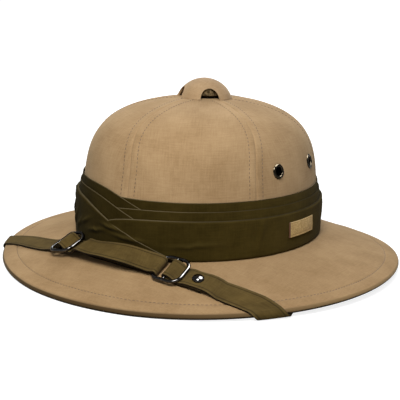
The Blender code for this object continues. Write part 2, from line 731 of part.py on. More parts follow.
def rivet_matrix(line):
    """The rivet's frame: on the brim's surface, with Z away from it."""
    distance = line.at_x(RIVET_X)
    low, high = line.point(distance, 0.0, 0.0), line.point(distance, 0.0, 1.0 * MM)
    frame = (high - low).to_track_quat("Z", "Y").to_matrix().to_4x4()
    frame.translation = low
    return frame


def strap_rivet(line):
    """A domed head, a shank through both layers and a flat back."""
    lower, upper = rivet_layers()
    seat = upper + STRAP_THICKNESS / 2 + GAP
    back = lower - STRAP_THICKNESS / 2 - GAP
    profile = [
        (0.0, GAP),
        (RIVET_BACK_RADIUS, GAP),
        (RIVET_BACK_RADIUS, back),
        (RIVET_SHANK_RADIUS, back),
        (RIVET_SHANK_RADIUS, seat),
        (RIVET_HEAD_RADIUS, seat),
        (RIVET_HEAD_RADIUS, seat + RIVET_RIM),
    ]
    for lean in (60, 35, 15):
        turn = math.radians(lean)
        rise = (RIVET_HEAD_HEIGHT - RIVET_RIM) * math.cos(turn)
        profile.append((RIVET_HEAD_RADIUS * math.sin(turn), seat + RIVET_RIM + rise))
    profile.append((0.0, seat + RIVET_HEAD_HEIGHT))
    made = bmesh.new()
    verts = [made.verts.new((radius, 0, height)) for radius, height in profile]
    edges = [made.edges.new(pair) for pair in zip(verts, verts[1:])]
    bmesh.ops.spin(
        made, geom=verts + edges, axis=(0, 0, 1), cent=(0, 0, 0), angle=2 * math.pi, steps=RIVET_STEPS
    )
    bmesh.ops.remove_doubles(made, verts=made.verts, dist=0.001 * MM)
    bmesh.ops.recalc_face_normals(made, faces=made.faces)
    bmesh.ops.transform(made, matrix=rivet_matrix(line), verts=made.verts)
    add_object("strap_rivet", made, strap_metal)


def wire_loop(path, radius, closed):
    """A round wire along a path of points."""
    sections = []
    count = len(path)
    for index, here in enumerate(path):
        if closed:
            ahead, behind = path[(index + 1) % count], path[index - 1]
        else:
            ahead, behind = path[min(index + 1, count - 1)], path[max(index - 1, 0)]
        run = (ahead - behind).normalized()
        side = run.cross(UP).normalized()
        top = side.cross(run)
        turns = [2 * math.pi * (i + 0.5) / WIRE_SIDES for i in range(WIRE_SIDES)]
        sections.append([here + (side * math.cos(t) + top * math.sin(t)) * radius for t in turns])
    return skin(sections, closed)


def buckle_frame(name, line, distance):
    """A rounded square of wire with a thinner bar across its middle, lying over the strap."""
    corners = (
        (FRAME_HALF_LENGTH, FRAME_HALF_WIDTH, 0),
        (-FRAME_HALF_LENGTH, FRAME_HALF_WIDTH, 90),
        (-FRAME_HALF_LENGTH, -FRAME_HALF_WIDTH, 180),
        (FRAME_HALF_LENGTH, -FRAME_HALF_WIDTH, 270),
    )

    def place(along, across):
        share = along / FRAME_HALF_LENGTH / 2 + 0.5
        return line.point(distance + along, across, LOW_WIRE + (HIGH_WIRE - LOW_WIRE) * share)

    path = []
    for along, across, start in corners:
        middle_along = along - math.copysign(FRAME_CORNER, along)
        middle_across = across - math.copysign(FRAME_CORNER, across)
        for step in range(CORNER_BENDS + 1):
            turn = math.radians(start + 90 * step / CORNER_BENDS)
            path.append(
                place(
                    middle_along + FRAME_CORNER * math.cos(turn),
                    middle_across + FRAME_CORNER * math.sin(turn),
                )
            )
    frame = add_object(name, wire_loop(path, WIRE_RADIUS, True), strap_metal, 60)
    bar_path = [place(0, FRAME_HALF_WIDTH * share) for share in (-1, -0.5, 0, 0.5, 1)]
    bar = add_object(name + "_bar", wire_loop(bar_path, BAR_RADIUS, False), strap_metal, 60)
    bar.hide_render = True
    bar.display_type = "WIRE"
    joined = frame.modifiers.new("bar", "BOOLEAN")
    joined.operation = "UNION"
    joined.solver = "EXACT"
    joined.object = bar


clear_scene()
tan_cloth = material("tan_cloth", (0.43, 0.29, 0.16), 0.9)
olive_cotton = material("olive_cotton", (0.05, 0.036, 0.012), 0.85)
olive_webbing = material("olive_webbing", (0.11, 0.08, 0.03), 0.85)
label_cork = material("label_cork", (0.42, 0.26, 0.09), 0.7)
eyelet_metal = material("eyelet_metal", (0.06, 0.045, 0.03), 0.45)
strap_metal = material("strap_metal", (0.35, 0.35, 0.36), 0.2, 1.0)

crown()
brim()
ventilator_cap()
for side_name, side_sign in (("left", 1), ("right", -1)):
    for place_name, (eyelet_angle, eyelet_height) in EYELET_PLACES.items():
        eyelet("eyelet_" + place_name + "_" + side_name, side_sign * eyelet_angle, eyelet_height)
for pleat_index in range(len(PLEATS)):
    pleat(pleat_index)
label_patch()
strap_line = StrapLine()
right_strap(strap_line)
left_strap(strap_line)
buckle_frame("strap_slider", strap_line, strap_line.at_x(SLIDER_X))
buckle_frame("strap_ring", strap_line, strap_line.at_x(RING_X))
strap_rivet(strap_line)
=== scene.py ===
import math

import bpy
from mathutils import Matrix, Vector, noise


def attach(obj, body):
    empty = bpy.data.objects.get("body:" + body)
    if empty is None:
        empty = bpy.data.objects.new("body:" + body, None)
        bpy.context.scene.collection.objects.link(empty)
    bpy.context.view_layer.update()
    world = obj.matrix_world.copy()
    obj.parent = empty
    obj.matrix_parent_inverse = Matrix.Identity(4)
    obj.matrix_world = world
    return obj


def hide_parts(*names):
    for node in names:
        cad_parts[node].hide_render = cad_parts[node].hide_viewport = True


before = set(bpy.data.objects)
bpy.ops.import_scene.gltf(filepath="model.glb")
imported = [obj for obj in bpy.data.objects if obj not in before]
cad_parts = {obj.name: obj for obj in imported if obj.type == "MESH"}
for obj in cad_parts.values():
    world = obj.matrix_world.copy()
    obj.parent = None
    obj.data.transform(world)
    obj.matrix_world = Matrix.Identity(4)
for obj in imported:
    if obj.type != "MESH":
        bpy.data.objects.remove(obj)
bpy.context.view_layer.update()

# --- Camera -----------------------------------------------------------------------------------------
# It stands in front of the wearer's left, a little higher than the brim, as in the photograph.
# The wearer looks along -Y, +X is the wearer's left, and every angle runs from the front towards +X.

MM = 0.001
UP = Vector((0, 0, 1))
CAMERA_PLACE = Vector((422.16, -659.13, 225.40)) * MM
CAMERA_AIM = Vector((-0.8, -3.71, 47.8)) * MM
CAMERA_ROLL = math.radians(1.831)
CAMERA_LENS = 87.477

camera = bpy.data.objects.new("camera", bpy.data.cameras.new("camera"))
bpy.context.scene.collection.objects.link(camera)
backwards = (CAMERA_PLACE - CAMERA_AIM).normalized()
sideways = UP.cross(backwards).normalized()
upright = backwards.cross(sideways)
camera_right = sideways * math.cos(CAMERA_ROLL) + upright * math.sin(CAMERA_ROLL)
camera_up = upright * math.cos(CAMERA_ROLL) - sideways * math.sin(CAMERA_ROLL)
camera.matrix_world = Matrix((camera_right, camera_up, backwards)).transposed().to_4x4()
camera.location = CAMERA_PLACE
camera.data.lens = CAMERA_LENS
bpy.context.scene.camera = camera

# --- Crown ------------------------------------------------------------------------------------------
# A pressed shell, covered with six panels of tan brushed cotton. The panels are sewn edge to edge, and
# their seam allowances, pressed open underneath, raise a flat rib on both sides of each seam.

CROWN_LENGTH = 213.2 * MM
CROWN_WIDTH = 184.2 * MM
CROWN_FORWARD = 3.2 * MM
CROWN_WALL = 3.0 * MM
CROWN_FOOT = 26.3 * MM
CROWN_SHOULDER = 41.0 * MM
CROWN_TOP = 133.5 * MM
CROWN_TAPER = 0.085
CROWN_FLATNESS = 5.35
CROWN_FULLNESS = 2.2
PANELS = 6
PANEL_COLUMNS = 60
CROWN_RINGS = 84
PROFILE_SAMPLES = 1200
SEAM_CROWDING = 0.62  # columns stand closer together near the seams
RIB_EDGE = (5.4 * MM, 7.4 * MM)  # distances from the seam between which a rib eases down
RIB_HEIGHT = 0.32 * MM
SEAM_DEPTH = 0.5 * MM
SEAM_HALF_WIDTH = 0.75 * MM
# each seam stands this many degrees off its even place, at the band and then at the top
SEAM_LEANS = ((1.4, -3.0), (-1.3, 2.5), (0.6, 0.0), (-0.8, 0.5), (0.9, -0.6), (-0.5, 0.8))
SEAM_TURNS = (85 * MM, 128 * MM)  # heights between which it goes from the one to the other
SEWING_OFFSET = 5.8 * MM  # from a seam to the row of stitches beside it
SEWING_DEPTH = 0.22 * MM
SEWING_HALF_WIDTH = 0.9 * MM
CLOTH_WAVES = 0.22 * MM
CLOTH_WAVE_RATE = 28  # per metre
FLAT_TOP = (0.1, 0.3)  # shares of the crown's size between which ribs and seams fade out at the top
# degrees from the front on both sides, and height
EYELET_PLACES = {"front": (72.9, 86.9 * MM), "rear": (105.2, 88.0 * MM)}
EYELET_HOLE = 4.6 * MM  # its radius
# the cotton's threads: noise drawn out along each of them, its nap, and the contrast of its colour
THREAD_STRETCHES = ((90, 900, 900), (900, 90, 900))
NAP_SCALE = 1400.0
COTTON_CONTRAST = (0.3, 0.7)
WEAVE_DEPTH = 0.4 * MM


def smooth_step(value, low, high):
    share = min(max((value - low) / (high - low), 0.0), 1.0)
    return share * share * (3 - 2 * share)


def bump_at(value, middle, half_width):
    return math.exp(-(((value - middle) / half_width) ** 2))


def oval(half_length, half_width, angle, middle_y=0.0, height=0.0):
    """The point of an oval in the direction of an angle in degrees, as seen from its middle."""
    turn = math.radians(angle)
    reach = 1 / math.hypot(math.sin(turn) / half_width, math.cos(turn) / half_length)
    return Vector((reach * math.sin(turn), middle_y - reach * math.cos(turn), height))


def crown_share(height):
    """The crown's size at a height, as a share of its size at the foot."""
    rise = max(height - CROWN_SHOULDER, 0.0) / (CROWN_TOP - CROWN_SHOULDER)
    dome = max(1 - rise**CROWN_FLATNESS, 0.0) ** (1 / CROWN_FULLNESS)
    return (1 - CROWN_TAPER * rise) * dome


def crown_point(angle, height, offset=0.0):
    """A point on the crown's outer side, or that far outside it."""
    share = crown_share(height)
    point = oval(CROWN_LENGTH / 2 * share, CROWN_WIDTH / 2 * share, angle, -CROWN_FORWARD, height)
    return point + crown_normal(angle, height) * offset if offset else point


def crown_normal(angle, height):
    step = 0.2 * MM
    low = min(height, CROWN_TOP - 2 * step)
    along = crown_point(angle + 0.5, low) - crown_point(angle - 0.5, low)
    rising = crown_point(angle, low + step) - crown_point(angle, low - step)
    return along.cross(rising).normalized()


def crown_radius(angle, height):
    share = crown_share(height)
    return oval(CROWN_LENGTH / 2 * share, CROWN_WIDTH / 2 * share, angle).length if share else 0.0


def seam_angle(seam, height):
    """Where a seam stands at a height. Seams are numbered from the front towards +X."""
    low, high = SEAM_LEANS[seam % PANELS]
    return 360 / PANELS * seam + low + (high - low) * smooth_step(height, *SEAM_TURNS)


def crown_relief(angle, height):
    """How far the cloth stands out from the shell: ribs beside the seams, and soft waves."""
    near = round(angle * PANELS / 360)
    off = math.radians(abs(angle - seam_angle(near, height))) * crown_radius(angle, height)
    rib = RIB_HEIGHT * (1 - smooth_step(off, *RIB_EDGE))
    seam = SEAM_DEPTH * bump_at(off, 0, SEAM_HALF_WIDTH)
    sewn = SEWING_DEPTH * bump_at(off, SEWING_OFFSET, SEWING_HALF_WIDTH)
    waves = CLOTH_WAVES * noise.noise(crown_point(angle, height) * CLOTH_WAVE_RATE)
    return (rib - seam - sewn) * smooth_step(crown_share(height), *FLAT_TOP) + waves


def crown_rings(rings):
    """Pairs of height and climb, an equal climb apart along the crown's section, up to the top."""
    mean_radius = (CROWN_LENGTH + CROWN_WIDTH) / 4
    samples = []
    for i in range(PROFILE_SAMPLES + 1):
        height = CROWN_FOOT + (CROWN_TOP - CROWN_FOOT) * (1 - (1 - i / PROFILE_SAMPLES) ** 3)
        samples.append((mean_radius * crown_share(height), height))
    climbs = [0.0]
    for (r0, z0), (r1, z1) in zip(samples, samples[1:]):
        climbs.append(climbs[-1] + math.hypot(r1 - r0, z1 - z0))
    found = []
    index = 0
    for ring in range(rings + 1):
        wanted = climbs[-1] * ring / rings
        while climbs[index] < wanted and index < PROFILE_SAMPLES:
            index += 1
        found.append((samples[index][1], wanted))
    return found


def primitive(add, name, **how):
    """A new piece from one of the primitives, alone selected."""
    bpy.ops.object.select_all(action="DESELECT")
    add(**how)
    piece = bpy.context.object
    piece.name = piece.data.name = name
    return piece


def drop_faces(piece, unwanted):
    """Deletes the faces of a piece whose middle passes a test, and the points left loose."""
    bpy.ops.object.mode_set(mode="EDIT")
    bpy.ops.mesh.select_mode(type="FACE")
    bpy.ops.mesh.select_all(action="DESELECT")
    bpy.ops.object.mode_set(mode="OBJECT")
    for face in piece.data.polygons:
        face.select = unwanted(face.center)
    bpy.ops.object.mode_set(mode="EDIT")
    bpy.ops.mesh.delete(type="FACE")
    bpy.ops.mesh.select_mode(type="VERT")
    bpy.ops.object.mode_set(mode="OBJECT")


def apply_modifiers(piece):
    bpy.context.view_layer.objects.active = piece
    for modifier in list(piece.modifiers):
        bpy.ops.object.modifier_apply(modifier=modifier.name)


def thicken(piece, thickness, offset):
    """Gives a skin its wall: on its inside at an offset of -1, to both sides of it at 0."""
    wall = piece.modifiers.new("wall", "SOLIDIFY")
    wall.thickness = thickness
    wall.offset = offset
    wall.use_even_offset = False


def settle(piece, finish, slot, *nodes, degrees=40):
    """Smooths a finished piece and gives it its material and its place among the CAD nodes."""
    bpy.ops.object.select_all(action="DESELECT")
    piece.select_set(True)
    bpy.context.view_layer.objects.active = piece
    bpy.ops.object.shade_smooth_by_angle(angle=math.radians(degrees))
    piece.data.materials.clear()
    piece.data.materials.append(finish)
    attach(piece, "root")
    if nodes:
        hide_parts(*nodes)


def new_material(name):
    """A new material, its node tree and its Principled shader."""
    made = bpy.data.materials.new(name)
    made.use_nodes = True
    return made, made.node_tree, made.node_tree.nodes["Principled BSDF"]


def fill_in(node, sockets):
    """Each socket takes a value, a colour of three numbers, or another node's output."""
    for name, value in sockets.items():
        socket = node.inputs[name]
        if isinstance(value, bpy.types.NodeSocket):
            node.id_data.links.new(value, socket)
        else:
            socket.default_value = (*value, 1) if socket.type == "RGBA" else value


def add_node(tree, kind, sockets=None, **settings):
    node = tree.nodes.new(kind)
    for name, value in settings.items():
        setattr(node, name, value)
    fill_in(node, sockets or {})
    return node


def calculate(tree, operation, *values, clamp=False):
    sockets = dict(enumerate(values))
    return add_node(tree, "ShaderNodeMath", sockets, operation=operation, use_clamp=clamp).outputs[0]


def mix_colours(tree, share, first, second, blend="MIX"):
    sockets = {0: share, 6: first, 7: second}
    return add_node(tree, "ShaderNodeMix", sockets, data_type="RGBA", blend_type=blend).outputs[2]


def soft_noise(tree, place, scale, detail, roughness=0.5):
    sockets = {"Vector": place, "Scale": scale, "Detail": detail, "Roughness": roughness}
    return add_node(tree, "ShaderNodeTexNoise", sockets).outputs["Fac"]


def rescale(tree, value, low, high, to_low=0.0, to_high=1.0, kind="LINEAR"):
    """A value between low and high, brought to between two others and held there."""
    sockets = {"Value": value, "From Min": low, "From Max": high, "To Min": to_low, "To Max": to_high}
    return add_node(tree, "ShaderNodeMapRange", sockets, interpolation_type=kind).outputs["Result"]


def raised(tree, height, strength, distance):
    """The normal of a surface that stands up by a height."""
    sockets = {"Height": height, "Strength": strength, "Distance": distance}
    return add_node(tree, "ShaderNodeBump", sockets).outputs["Normal"]


def new_group(name, inputs, outputs):
    """A shader node group: its tree, what its input node gives, and its output node."""
    group = bpy.data.node_groups.new(name, "ShaderNodeTree")
    for way, sockets in (("INPUT", inputs), ("OUTPUT", outputs)):
        for socket, kind in sockets.items():
            group.interface.new_socket(socket, in_out=way, socket_type="NodeSocket" + kind)
    given = group.nodes.new("NodeGroupInput").outputs
    return group, given, group.nodes.new("NodeGroupOutput")


def cloth_group():
    """Colour and height of brushed cotton: soft patches, slubs along both threads, and a fine nap."""
    inputs = {"Place": "Vector", "Deep Colour": "Color", "Pale Colour": "Color"}
    inputs.update({"Patch Scale": "Float", "Slub": "Float", "Nap": "Float"})
    group, given, out = new_group("woven_cotton", inputs, {"Colour": "Color", "Height": "Float"})
    place, slub, nap = given["Place"], given["Slub"], given["Nap"]
    threads = []
    for stretch in THREAD_STRETCHES:
        run = add_node(group, "ShaderNodeMapping", {"Vector": place, "Scale": stretch})
        threads.append(soft_noise(group, run.outputs["Vector"], 1.0, 2.0))
    slubs = calculate(group, "MULTIPLY", calculate(group, "ADD", *threads), slub)
    fuzz = calculate(group, "MULTIPLY", soft_noise(group, place, NAP_SCALE, 3.0), nap)
    height = calculate(group, "ADD", slubs, fuzz)
    # each part swings round its own middle, so that the sum stays round one half
    middle = calculate(group, "MULTIPLY", calculate(group, "MULTIPLY_ADD", slub, 2.0, nap), -0.5)
    swing = calculate(group, "ADD", height, middle)
    patches = soft_noise(group, place, given["Patch Scale"], 5.0, 0.62)
    share = rescale(group, calculate(group, "ADD", patches, swing, clamp=True), *COTTON_CONTRAST)
    colour = mix_colours(group, share, given["Deep Colour"], given["Pale Colour"])
    fill_in(out, {"Colour": colour, "Height": height})
    return group


woven_cotton = cloth_group()


def cotton(name, deep, pale, patches, slub, nap, bump, sheen, tint, shine, place="Object"):
    """A cotton. Deep and pale are the ends of its colour, and bump is how strong its weave shows."""
    made, tree, shader = new_material(name)
    sockets = {"Place": add_node(tree, "ShaderNodeTexCoord").outputs[place]}
    sockets.update({"Deep Colour": deep, "Pale Colour": pale})
    sockets.update({"Patch Scale": patches, "Slub": slub, "Nap": nap})
    weave = add_node(tree, "ShaderNodeGroup", node_tree=woven_cotton)
    fill_in(weave, sockets)
    relief = raised(tree, weave.outputs["Height"], bump, WEAVE_DEPTH)
    fill_in(shader, {"Base Color": weave.outputs["Colour"], "Normal": relief})
    fill_in(shader, {"Roughness": 0.92, "Specular IOR Level": shine})
    fill_in(shader, {"Sheen Weight": sheen, "Sheen Roughness": 0.5, "Sheen Tint": tint})
    return made


tan_cotton = cotton(
    "tan_brushed_cotton", (0.272, 0.170, 0.081), (0.388, 0.258, 0.134), patches=26.0, slub=0.3,
    nap=0.26, bump=0.25, sheen=0.14, tint=(1.0, 0.84, 0.58), shine=0.06, place="UV",
)


def panel_turn(column, height):
    """The angle of a column of the crown's mesh at a height, crowded towards the seams."""
    seam, step = divmod(column, PANEL_COLUMNS)
    share = step / PANEL_COLUMNS
    share -= SEAM_CROWDING * math.sin(2 * math.pi * share) / (2 * math.pi)
    start, end = seam_angle(seam, height), seam_angle(seam + 1, height)
    return start + (end - start) * share


crown = primitive(
    bpy.ops.mesh.primitive_uv_sphere_add, "crown_cloth",
    segments=PANELS * PANEL_COLUMNS, ring_count=2 * CROWN_RINGS, radius=1,
)
drop_faces(crown, lambda middle: middle.z < 0)
# each panel is cut from the cloth by itself, so its weave runs upright through its middle
face_panels = []
for face in crown.data.polygons:
    facing = math.atan2(face.center.x, -face.center.y) / (2 * math.pi) * PANELS
    face_panels.append((math.floor(facing) + 0.5) * 360 / PANELS)
ring_places = crown_rings(CROWN_RINGS)
panel_places = []
for vertex in crown.data.vertices:
    ring = round(math.asin(min(max(vertex.co.z, 0.0), 1.0)) / (math.pi / 2) * CROWN_RINGS)
    height, climb = ring_places[ring]
    column = round(math.atan2(vertex.co.x, -vertex.co.y) / (2 * math.pi) * PANELS * PANEL_COLUMNS)
    angle = panel_turn(column, height)
    panel_places.append((angle, crown_radius(angle, height), climb))
    if ring == CROWN_RINGS:
        vertex.co = (0, -CROWN_FORWARD, CROWN_TOP)
    else:
        vertex.co = crown_point(angle, height, crown_relief(angle, height))
for face, panel_middle in zip(crown.data.polygons, face_panels):
    for loop in face.loop_indices:
        angle, radius, climb = panel_places[crown.data.loops[loop].vertex_index]
        across = math.radians((angle - panel_middle + 180) % 360 - 180) * radius
        crown.data.uv_layers.active.data[loop].uv = (across + panel_middle * MM, climb)
eyelets = {}
for side, sign in (("left", 1), ("right", -1)):
    for place, (angle, height) in EYELET_PLACES.items():
        middle = crown_point(sign * angle, height)
        turned = crown_normal(sign * angle, height).to_track_quat("Z", "Y").to_matrix().to_4x4()
        eyelets[place + "_" + side] = Matrix.Translation(middle) @ turned
holes = list(eyelets.values())
drop_faces(
    crown, lambda middle: any((middle - hole.translation).length < EYELET_HOLE for hole in holes)
)
edge_uses = {}
for face in crown.data.polygons:
    for key in face.edge_keys:
        edge_uses[key] = edge_uses.get(key, 0) + 1
rim_points = {point for key, uses in edge_uses.items() if uses == 1 for point in key}
for point in rim_points:
    spot = crown.data.vertices[point]
    for hole in holes:
        flat = hole.inverted() @ spot.co
        if flat.length < 2 * EYELET_HOLE:
            flat.xy = flat.xy.normalized() * EYELET_HOLE
            spot.co = hole @ flat
thicken(crown, CROWN_WALL, -1)
apply_modifiers(crown)
settle(crown, tan_cotton, "tan_cloth", "crown")

# --- Brim -------------------------------------------------------------------------------------------
# A sloping ring of the same shell under the same cotton. Its edge is turned over and held by a row of
# stitches 9 to 12 mm further in. It dips at front and back, where the hat stands on it.

BRIM_LENGTH = 330 * MM
BRIM_WIDTH = 322 * MM
BRIM_THICKNESS = 4.2 * MM
BRIM_DIP = 2.48 * MM
BRIM_FLARE = 1.5 * MM  # how much more it rises a little behind the sides
FLARE_SPREAD = (118, 33)  # degrees from the front where that is most, and how far it spreads
BRIM_REST = 0.35 * MM  # its two dips are flattened by this much, and it rests on them
BRIM_LAND = 1.5 * MM  # the level part of its underside, inside the round edge
BRIM_COLUMNS = 256
EDGE_BENDS = 14
HEM_WIDTH = 11.5 * MM  # at front and back
HEM_NARROWER = 2.2 * MM  # at the sides
HEM_FULLNESS = 0.28 * MM
HEM_DEPTH = 0.42 * MM
HEM_SEWING_HALF_WIDTH = 0.85 * MM
BRIM_WAVES = 0.3 * MM
BRIM_WAVE_RATES = (42, 95)  # per metre
CALM_EDGE = 4 * MM  # the waves fade out this near the round edge
CALM_FOOT = (0.8, 1.0)  # and between these shares of the way in to the crown
LINING_WALL = 0.35 * MM
LINING_START = 104  # degrees round the edge, from its top
CLOTH_END = LINING_START - 6  # from here the cloth goes in under the lining
TUCKED_BENDS = (LINING_START - 3, LINING_START + 20, 165)
PIECE_GAP = 0.3 * MM
# the upper side's rows of points: these distances in from the round edge, then more up to the crown
HEM_STEPS = (1.5, 3.5, 6, 8.5, 9.8, 10.6, 11.1, 11.5, 11.9, 12.4, 13.2, 14.6, 17)
HEM_ROWS = [step * MM for step in HEM_STEPS]
SLOPE_ROWS = 14


def brim_section(angle):
    """The brim's upper side at the crown, the middle of its round edge, the way out, and its normal."""
    half = BRIM_THICKNESS / 2
    wave = BRIM_DIP * (1 - math.cos(2 * math.radians(angle)))
    wave += BRIM_FLARE * bump_at(abs((angle + 180) % 360 - 180), *FLARE_SPREAD)
    height = half + max(wave - BRIM_REST, 0.0)
    foot = oval(CROWN_LENGTH / 2, CROWN_WIDTH / 2, angle, -CROWN_FORWARD, CROWN_FOOT - PIECE_GAP)
    edge = oval(BRIM_LENGTH / 2 - half, BRIM_WIDTH / 2 - half, angle, 0.0, height)
    normal = UP
    for _ in range(5):
        way_out = (edge + normal * half - foot).normalized()
        normal = (UP - way_out * UP.dot(way_out)).normalized()
    return foot, edge, way_out, normal


def level_way(way):
    return Vector((way.x, way.y, 0)).normalized()


def inner_corner(angle):
    """The brim's lower inner corner, under the crown's wall, and the level way out there."""
    foot, _, way_out, normal = brim_section(angle)
    level_out = level_way(way_out)
    below = foot - normal * BRIM_THICKNESS
    inside = (CROWN_LENGTH / 2 - CROWN_WALL, CROWN_WIDTH / 2 - CROWN_WALL)
    inner = oval(*inside, angle, -CROWN_FORWARD, foot.z)
    reach = (below - inner).dot(level_out) / way_out.dot(level_out)
    return below - way_out * reach, level_out


def hem_width(angle):
    return HEM_WIDTH - HEM_NARROWER * math.sin(math.radians(angle)) ** 2


def brim_relief(point, inward, slope, width):
    """How far the cloth stands out from the brim's upper side, that far in from its round edge."""
    hem = HEM_FULLNESS * math.sin(math.pi * min(inward / width, 1.0)) ** 2
    sewn = HEM_DEPTH * bump_at(inward, width, HEM_SEWING_HALF_WIDTH)
    calm = smooth_step(inward, 0, CALM_EDGE) * (1 - smooth_step(inward / slope, *CALM_FOOT))
    coarse, fine = (noise.noise(point * rate) for rate in BRIM_WAVE_RATES)
    return hem - sewn + BRIM_WAVES * (coarse + 0.5 * fine) * calm


def edge_point(angle, bend, inset=0.0):
    """A point of the round edge, that many degrees round it from its top."""
    _, edge, way_out, _ = brim_section(angle)
    turn = math.radians(bend)
    out = level_way(way_out) * math.sin(turn) + UP * math.cos(turn)
    return edge + out * (BRIM_THICKNESS / 2 - inset)


def under_points(angle, inset):
    """The brim's underside, from under its round edge to the inner corner."""
    _, edge, way_out, normal = brim_section(angle)
    corner, level_out = inner_corner(angle)
    low = BRIM_THICKNESS / 2 - inset
    land = edge - UP * low
    slope = edge - normal * low - way_out * 4 * BRIM_LAND
    end = corner + normal * inset
    return [land, land - level_out * BRIM_LAND, slope, slope.lerp(end, 0.5), end]


def brim_cloth_section(angle):
    """From under the crown down the brim's upper side, round its edge and back along its underside."""
    foot, edge, way_out, normal = brim_section(angle)
    corner, _ = inner_corner(angle)
    top = edge + normal * BRIM_THICKNESS / 2
    slope = (top - foot).length
    section = [Vector((corner.x, corner.y, foot.z)), foot]
    width = hem_width(angle)
    hem_rows = [row * width / HEM_WIDTH for row in HEM_ROWS]
    rows = [slope - (slope - hem_rows[-1]) * step / SLOPE_ROWS for step in range(1, SLOPE_ROWS)]
    for inward in rows + hem_rows[::-1]:
        point = top - way_out * inward
        section.append(point + normal * brim_relief(point, inward, slope, width))
    tilt = math.degrees(math.asin(-way_out.z))
    for bend in range(EDGE_BENDS + 1):
        section.append(edge_point(angle, tilt + (CLOTH_END - tilt) * bend / EDGE_BENDS))
    section += [edge_point(angle, bend, LINING_WALL) for bend in TUCKED_BENDS]
    return section + under_points(angle, LINING_WALL)


def shape_all(operator, **how):
    """Runs one of edit mode's operators on the whole of the active piece."""
    bpy.ops.object.mode_set(mode="EDIT")
    bpy.ops.mesh.select_all(action="SELECT")
    operator(**how)
    bpy.ops.object.mode_set(mode="OBJECT")


def ring_of(name, columns, section):
    """A closed ring, made from a torus whose points are laid on one section after another."""
    minor = len(section(0))
    ring = primitive(
        bpy.ops.mesh.primitive_torus_add, name, major_segments=columns, minor_segments=minor
    )
    for column in range(columns):
        for row, point in enumerate(section(360 * column / columns)):
            ring.data.vertices[column * minor + row].co = point
    shape_all(bpy.ops.mesh.normals_make_consistent, inside=False)
    return ring


brim = ring_of("brim_cloth", BRIM_COLUMNS, brim_cloth_section)
brim_cotton = cotton(
    "tan_brim_cotton", (0.252, 0.154, 0.070), (0.352, 0.228, 0.113), patches=30.0, slub=0.26,
    nap=0.26, bump=0.35, sheen=0.14, tint=(1.0, 0.84, 0.58), shine=0.06,
)
# the lower part of the round edge is painted brown as shade, and palest on the wearer's left
EDGE_SHADE_COLOURS = ((0.056, 0.032, 0.012), (0.25, 0.16, 0.072))
EDGE_SHADE_BENDS = (22, 60)  # degrees round the edge where it starts and is full
EDGE_SHADE_SOONER = 20  # degrees less, at the front and towards the wearer's left
SOONER_SPREAD = (35, 75)  # the angle where that is most, and how far it spreads
PALER_SPREAD = (88, 42)
edge_shade_layer = brim.data.color_attributes.new("painted_edge_shade", "FLOAT_COLOR", "POINT")
for vertex in brim.data.vertices:
    angle = math.degrees(math.atan2(vertex.co.x, -vertex.co.y))
    _, edge, way_out, _ = brim_section(angle)
    outside = vertex.co - edge
    bend = math.degrees(math.atan2(outside.dot(level_way(way_out)), outside.z))
    bend += EDGE_SHADE_SOONER * bump_at(angle, *SOONER_SPREAD)
    shade_share = smooth_step(bend, *EDGE_SHADE_BENDS) if outside.length < BRIM_THICKNESS else 0.0
    edge_shade_layer.data[vertex.index].color = (shade_share, bump_at(angle, *PALER_SPREAD), 0, 1)


def colour_of(material):
    """A material's node tree, its shader, and what the shader's colour comes from."""
    shader = material.node_tree.nodes["Principled BSDF"]
    return material.node_tree, shader, shader.inputs["Base Color"].links[0].from_socket


def attribute_parts(tree, name):
    """The Red, Green and Blue of one of a piece's colour attributes."""
    kept = add_node(tree, "ShaderNodeAttribute", attribute_name=name).outputs["Color"]
    return add_node(tree, "ShaderNodeSeparateColor", {"Color": kept}).outputs


# the round edge's painted shade, laid over the cotton's colour
brim_tree, brim_shader, brim_colour = colour_of(brim_cotton)
painted_edge_shade = attribute_parts(brim_tree, "painted_edge_shade")
painted_edge_colour = mix_colours(brim_tree, painted_edge_shade["Green"], *EDGE_SHADE_COLOURS)
brim_colour = mix_colours(brim_tree, painted_edge_shade["Red"], brim_colour, painted_edge_colour)
fill_in(brim_shader, {"Base Color": brim_colour})
settle(brim, brim_cotton, "tan_cloth", "brim")

# --- Brim lining ------------------------------------------------------------------------------------
# Plain dark olive cotton under the brim. It is turned up over the lower part of the round edge, where
# it shows as a dark line; it reaches that far up the edge partly as painted shade under the edge.
# rows of points round the edge, in degrees from its top, on the outer and the inner side
LINING_OUTER_BENDS = (LINING_START, 115, 128, 141, 154, 167)
LINING_INNER_BENDS = (LINING_START + 2, 125, 145, 165)
LINING_THICKNESS = LINING_WALL - 0.05 * MM  # a little thinner than the room for it


def lining_section(angle):
    outer = [edge_point(angle, bend) for bend in LINING_OUTER_BENDS] + under_points(angle, 0.0)
    inner = [edge_point(angle, bend, LINING_THICKNESS) for bend in LINING_INNER_BENDS]
    inner += under_points(angle, LINING_THICKNESS)
    return outer + inner[::-1]


brim_lining = ring_of("brim_lining", BRIM_COLUMNS // 2, lining_section)
lining_cotton = cotton(
    "olive_lining", (0.022, 0.014, 0.006), (0.050, 0.034, 0.015), patches=40.0, slub=0.3,
    nap=0.2, bump=0.3, sheen=0.05, tint=(0.8, 0.7, 0.5), shine=0.05,
)
settle(brim_lining, lining_cotton, "olive_cotton")

# --- Sewing -----------------------------------------------------------------------------------------
# Dark brown lockstitches of waxed cotton, 3 mm from one to the next. Two rows follow each seam of the
# crown, one row holds the brim's hem, and each stitch lies in a small dent of its own row.

STITCH_PITCH = 3.0 * MM
STITCH_SIZE = (2.1 * MM, 0.5 * MM, 0.4 * MM)  # along its row, across it, and upwards
STITCH_LIFT = 0.05 * MM
SEAM_SEWING_START = 16  # the ring of the crown's mesh, behind the band
SEAM_SEWING_END = 20 * MM  # the radius under the ventilator


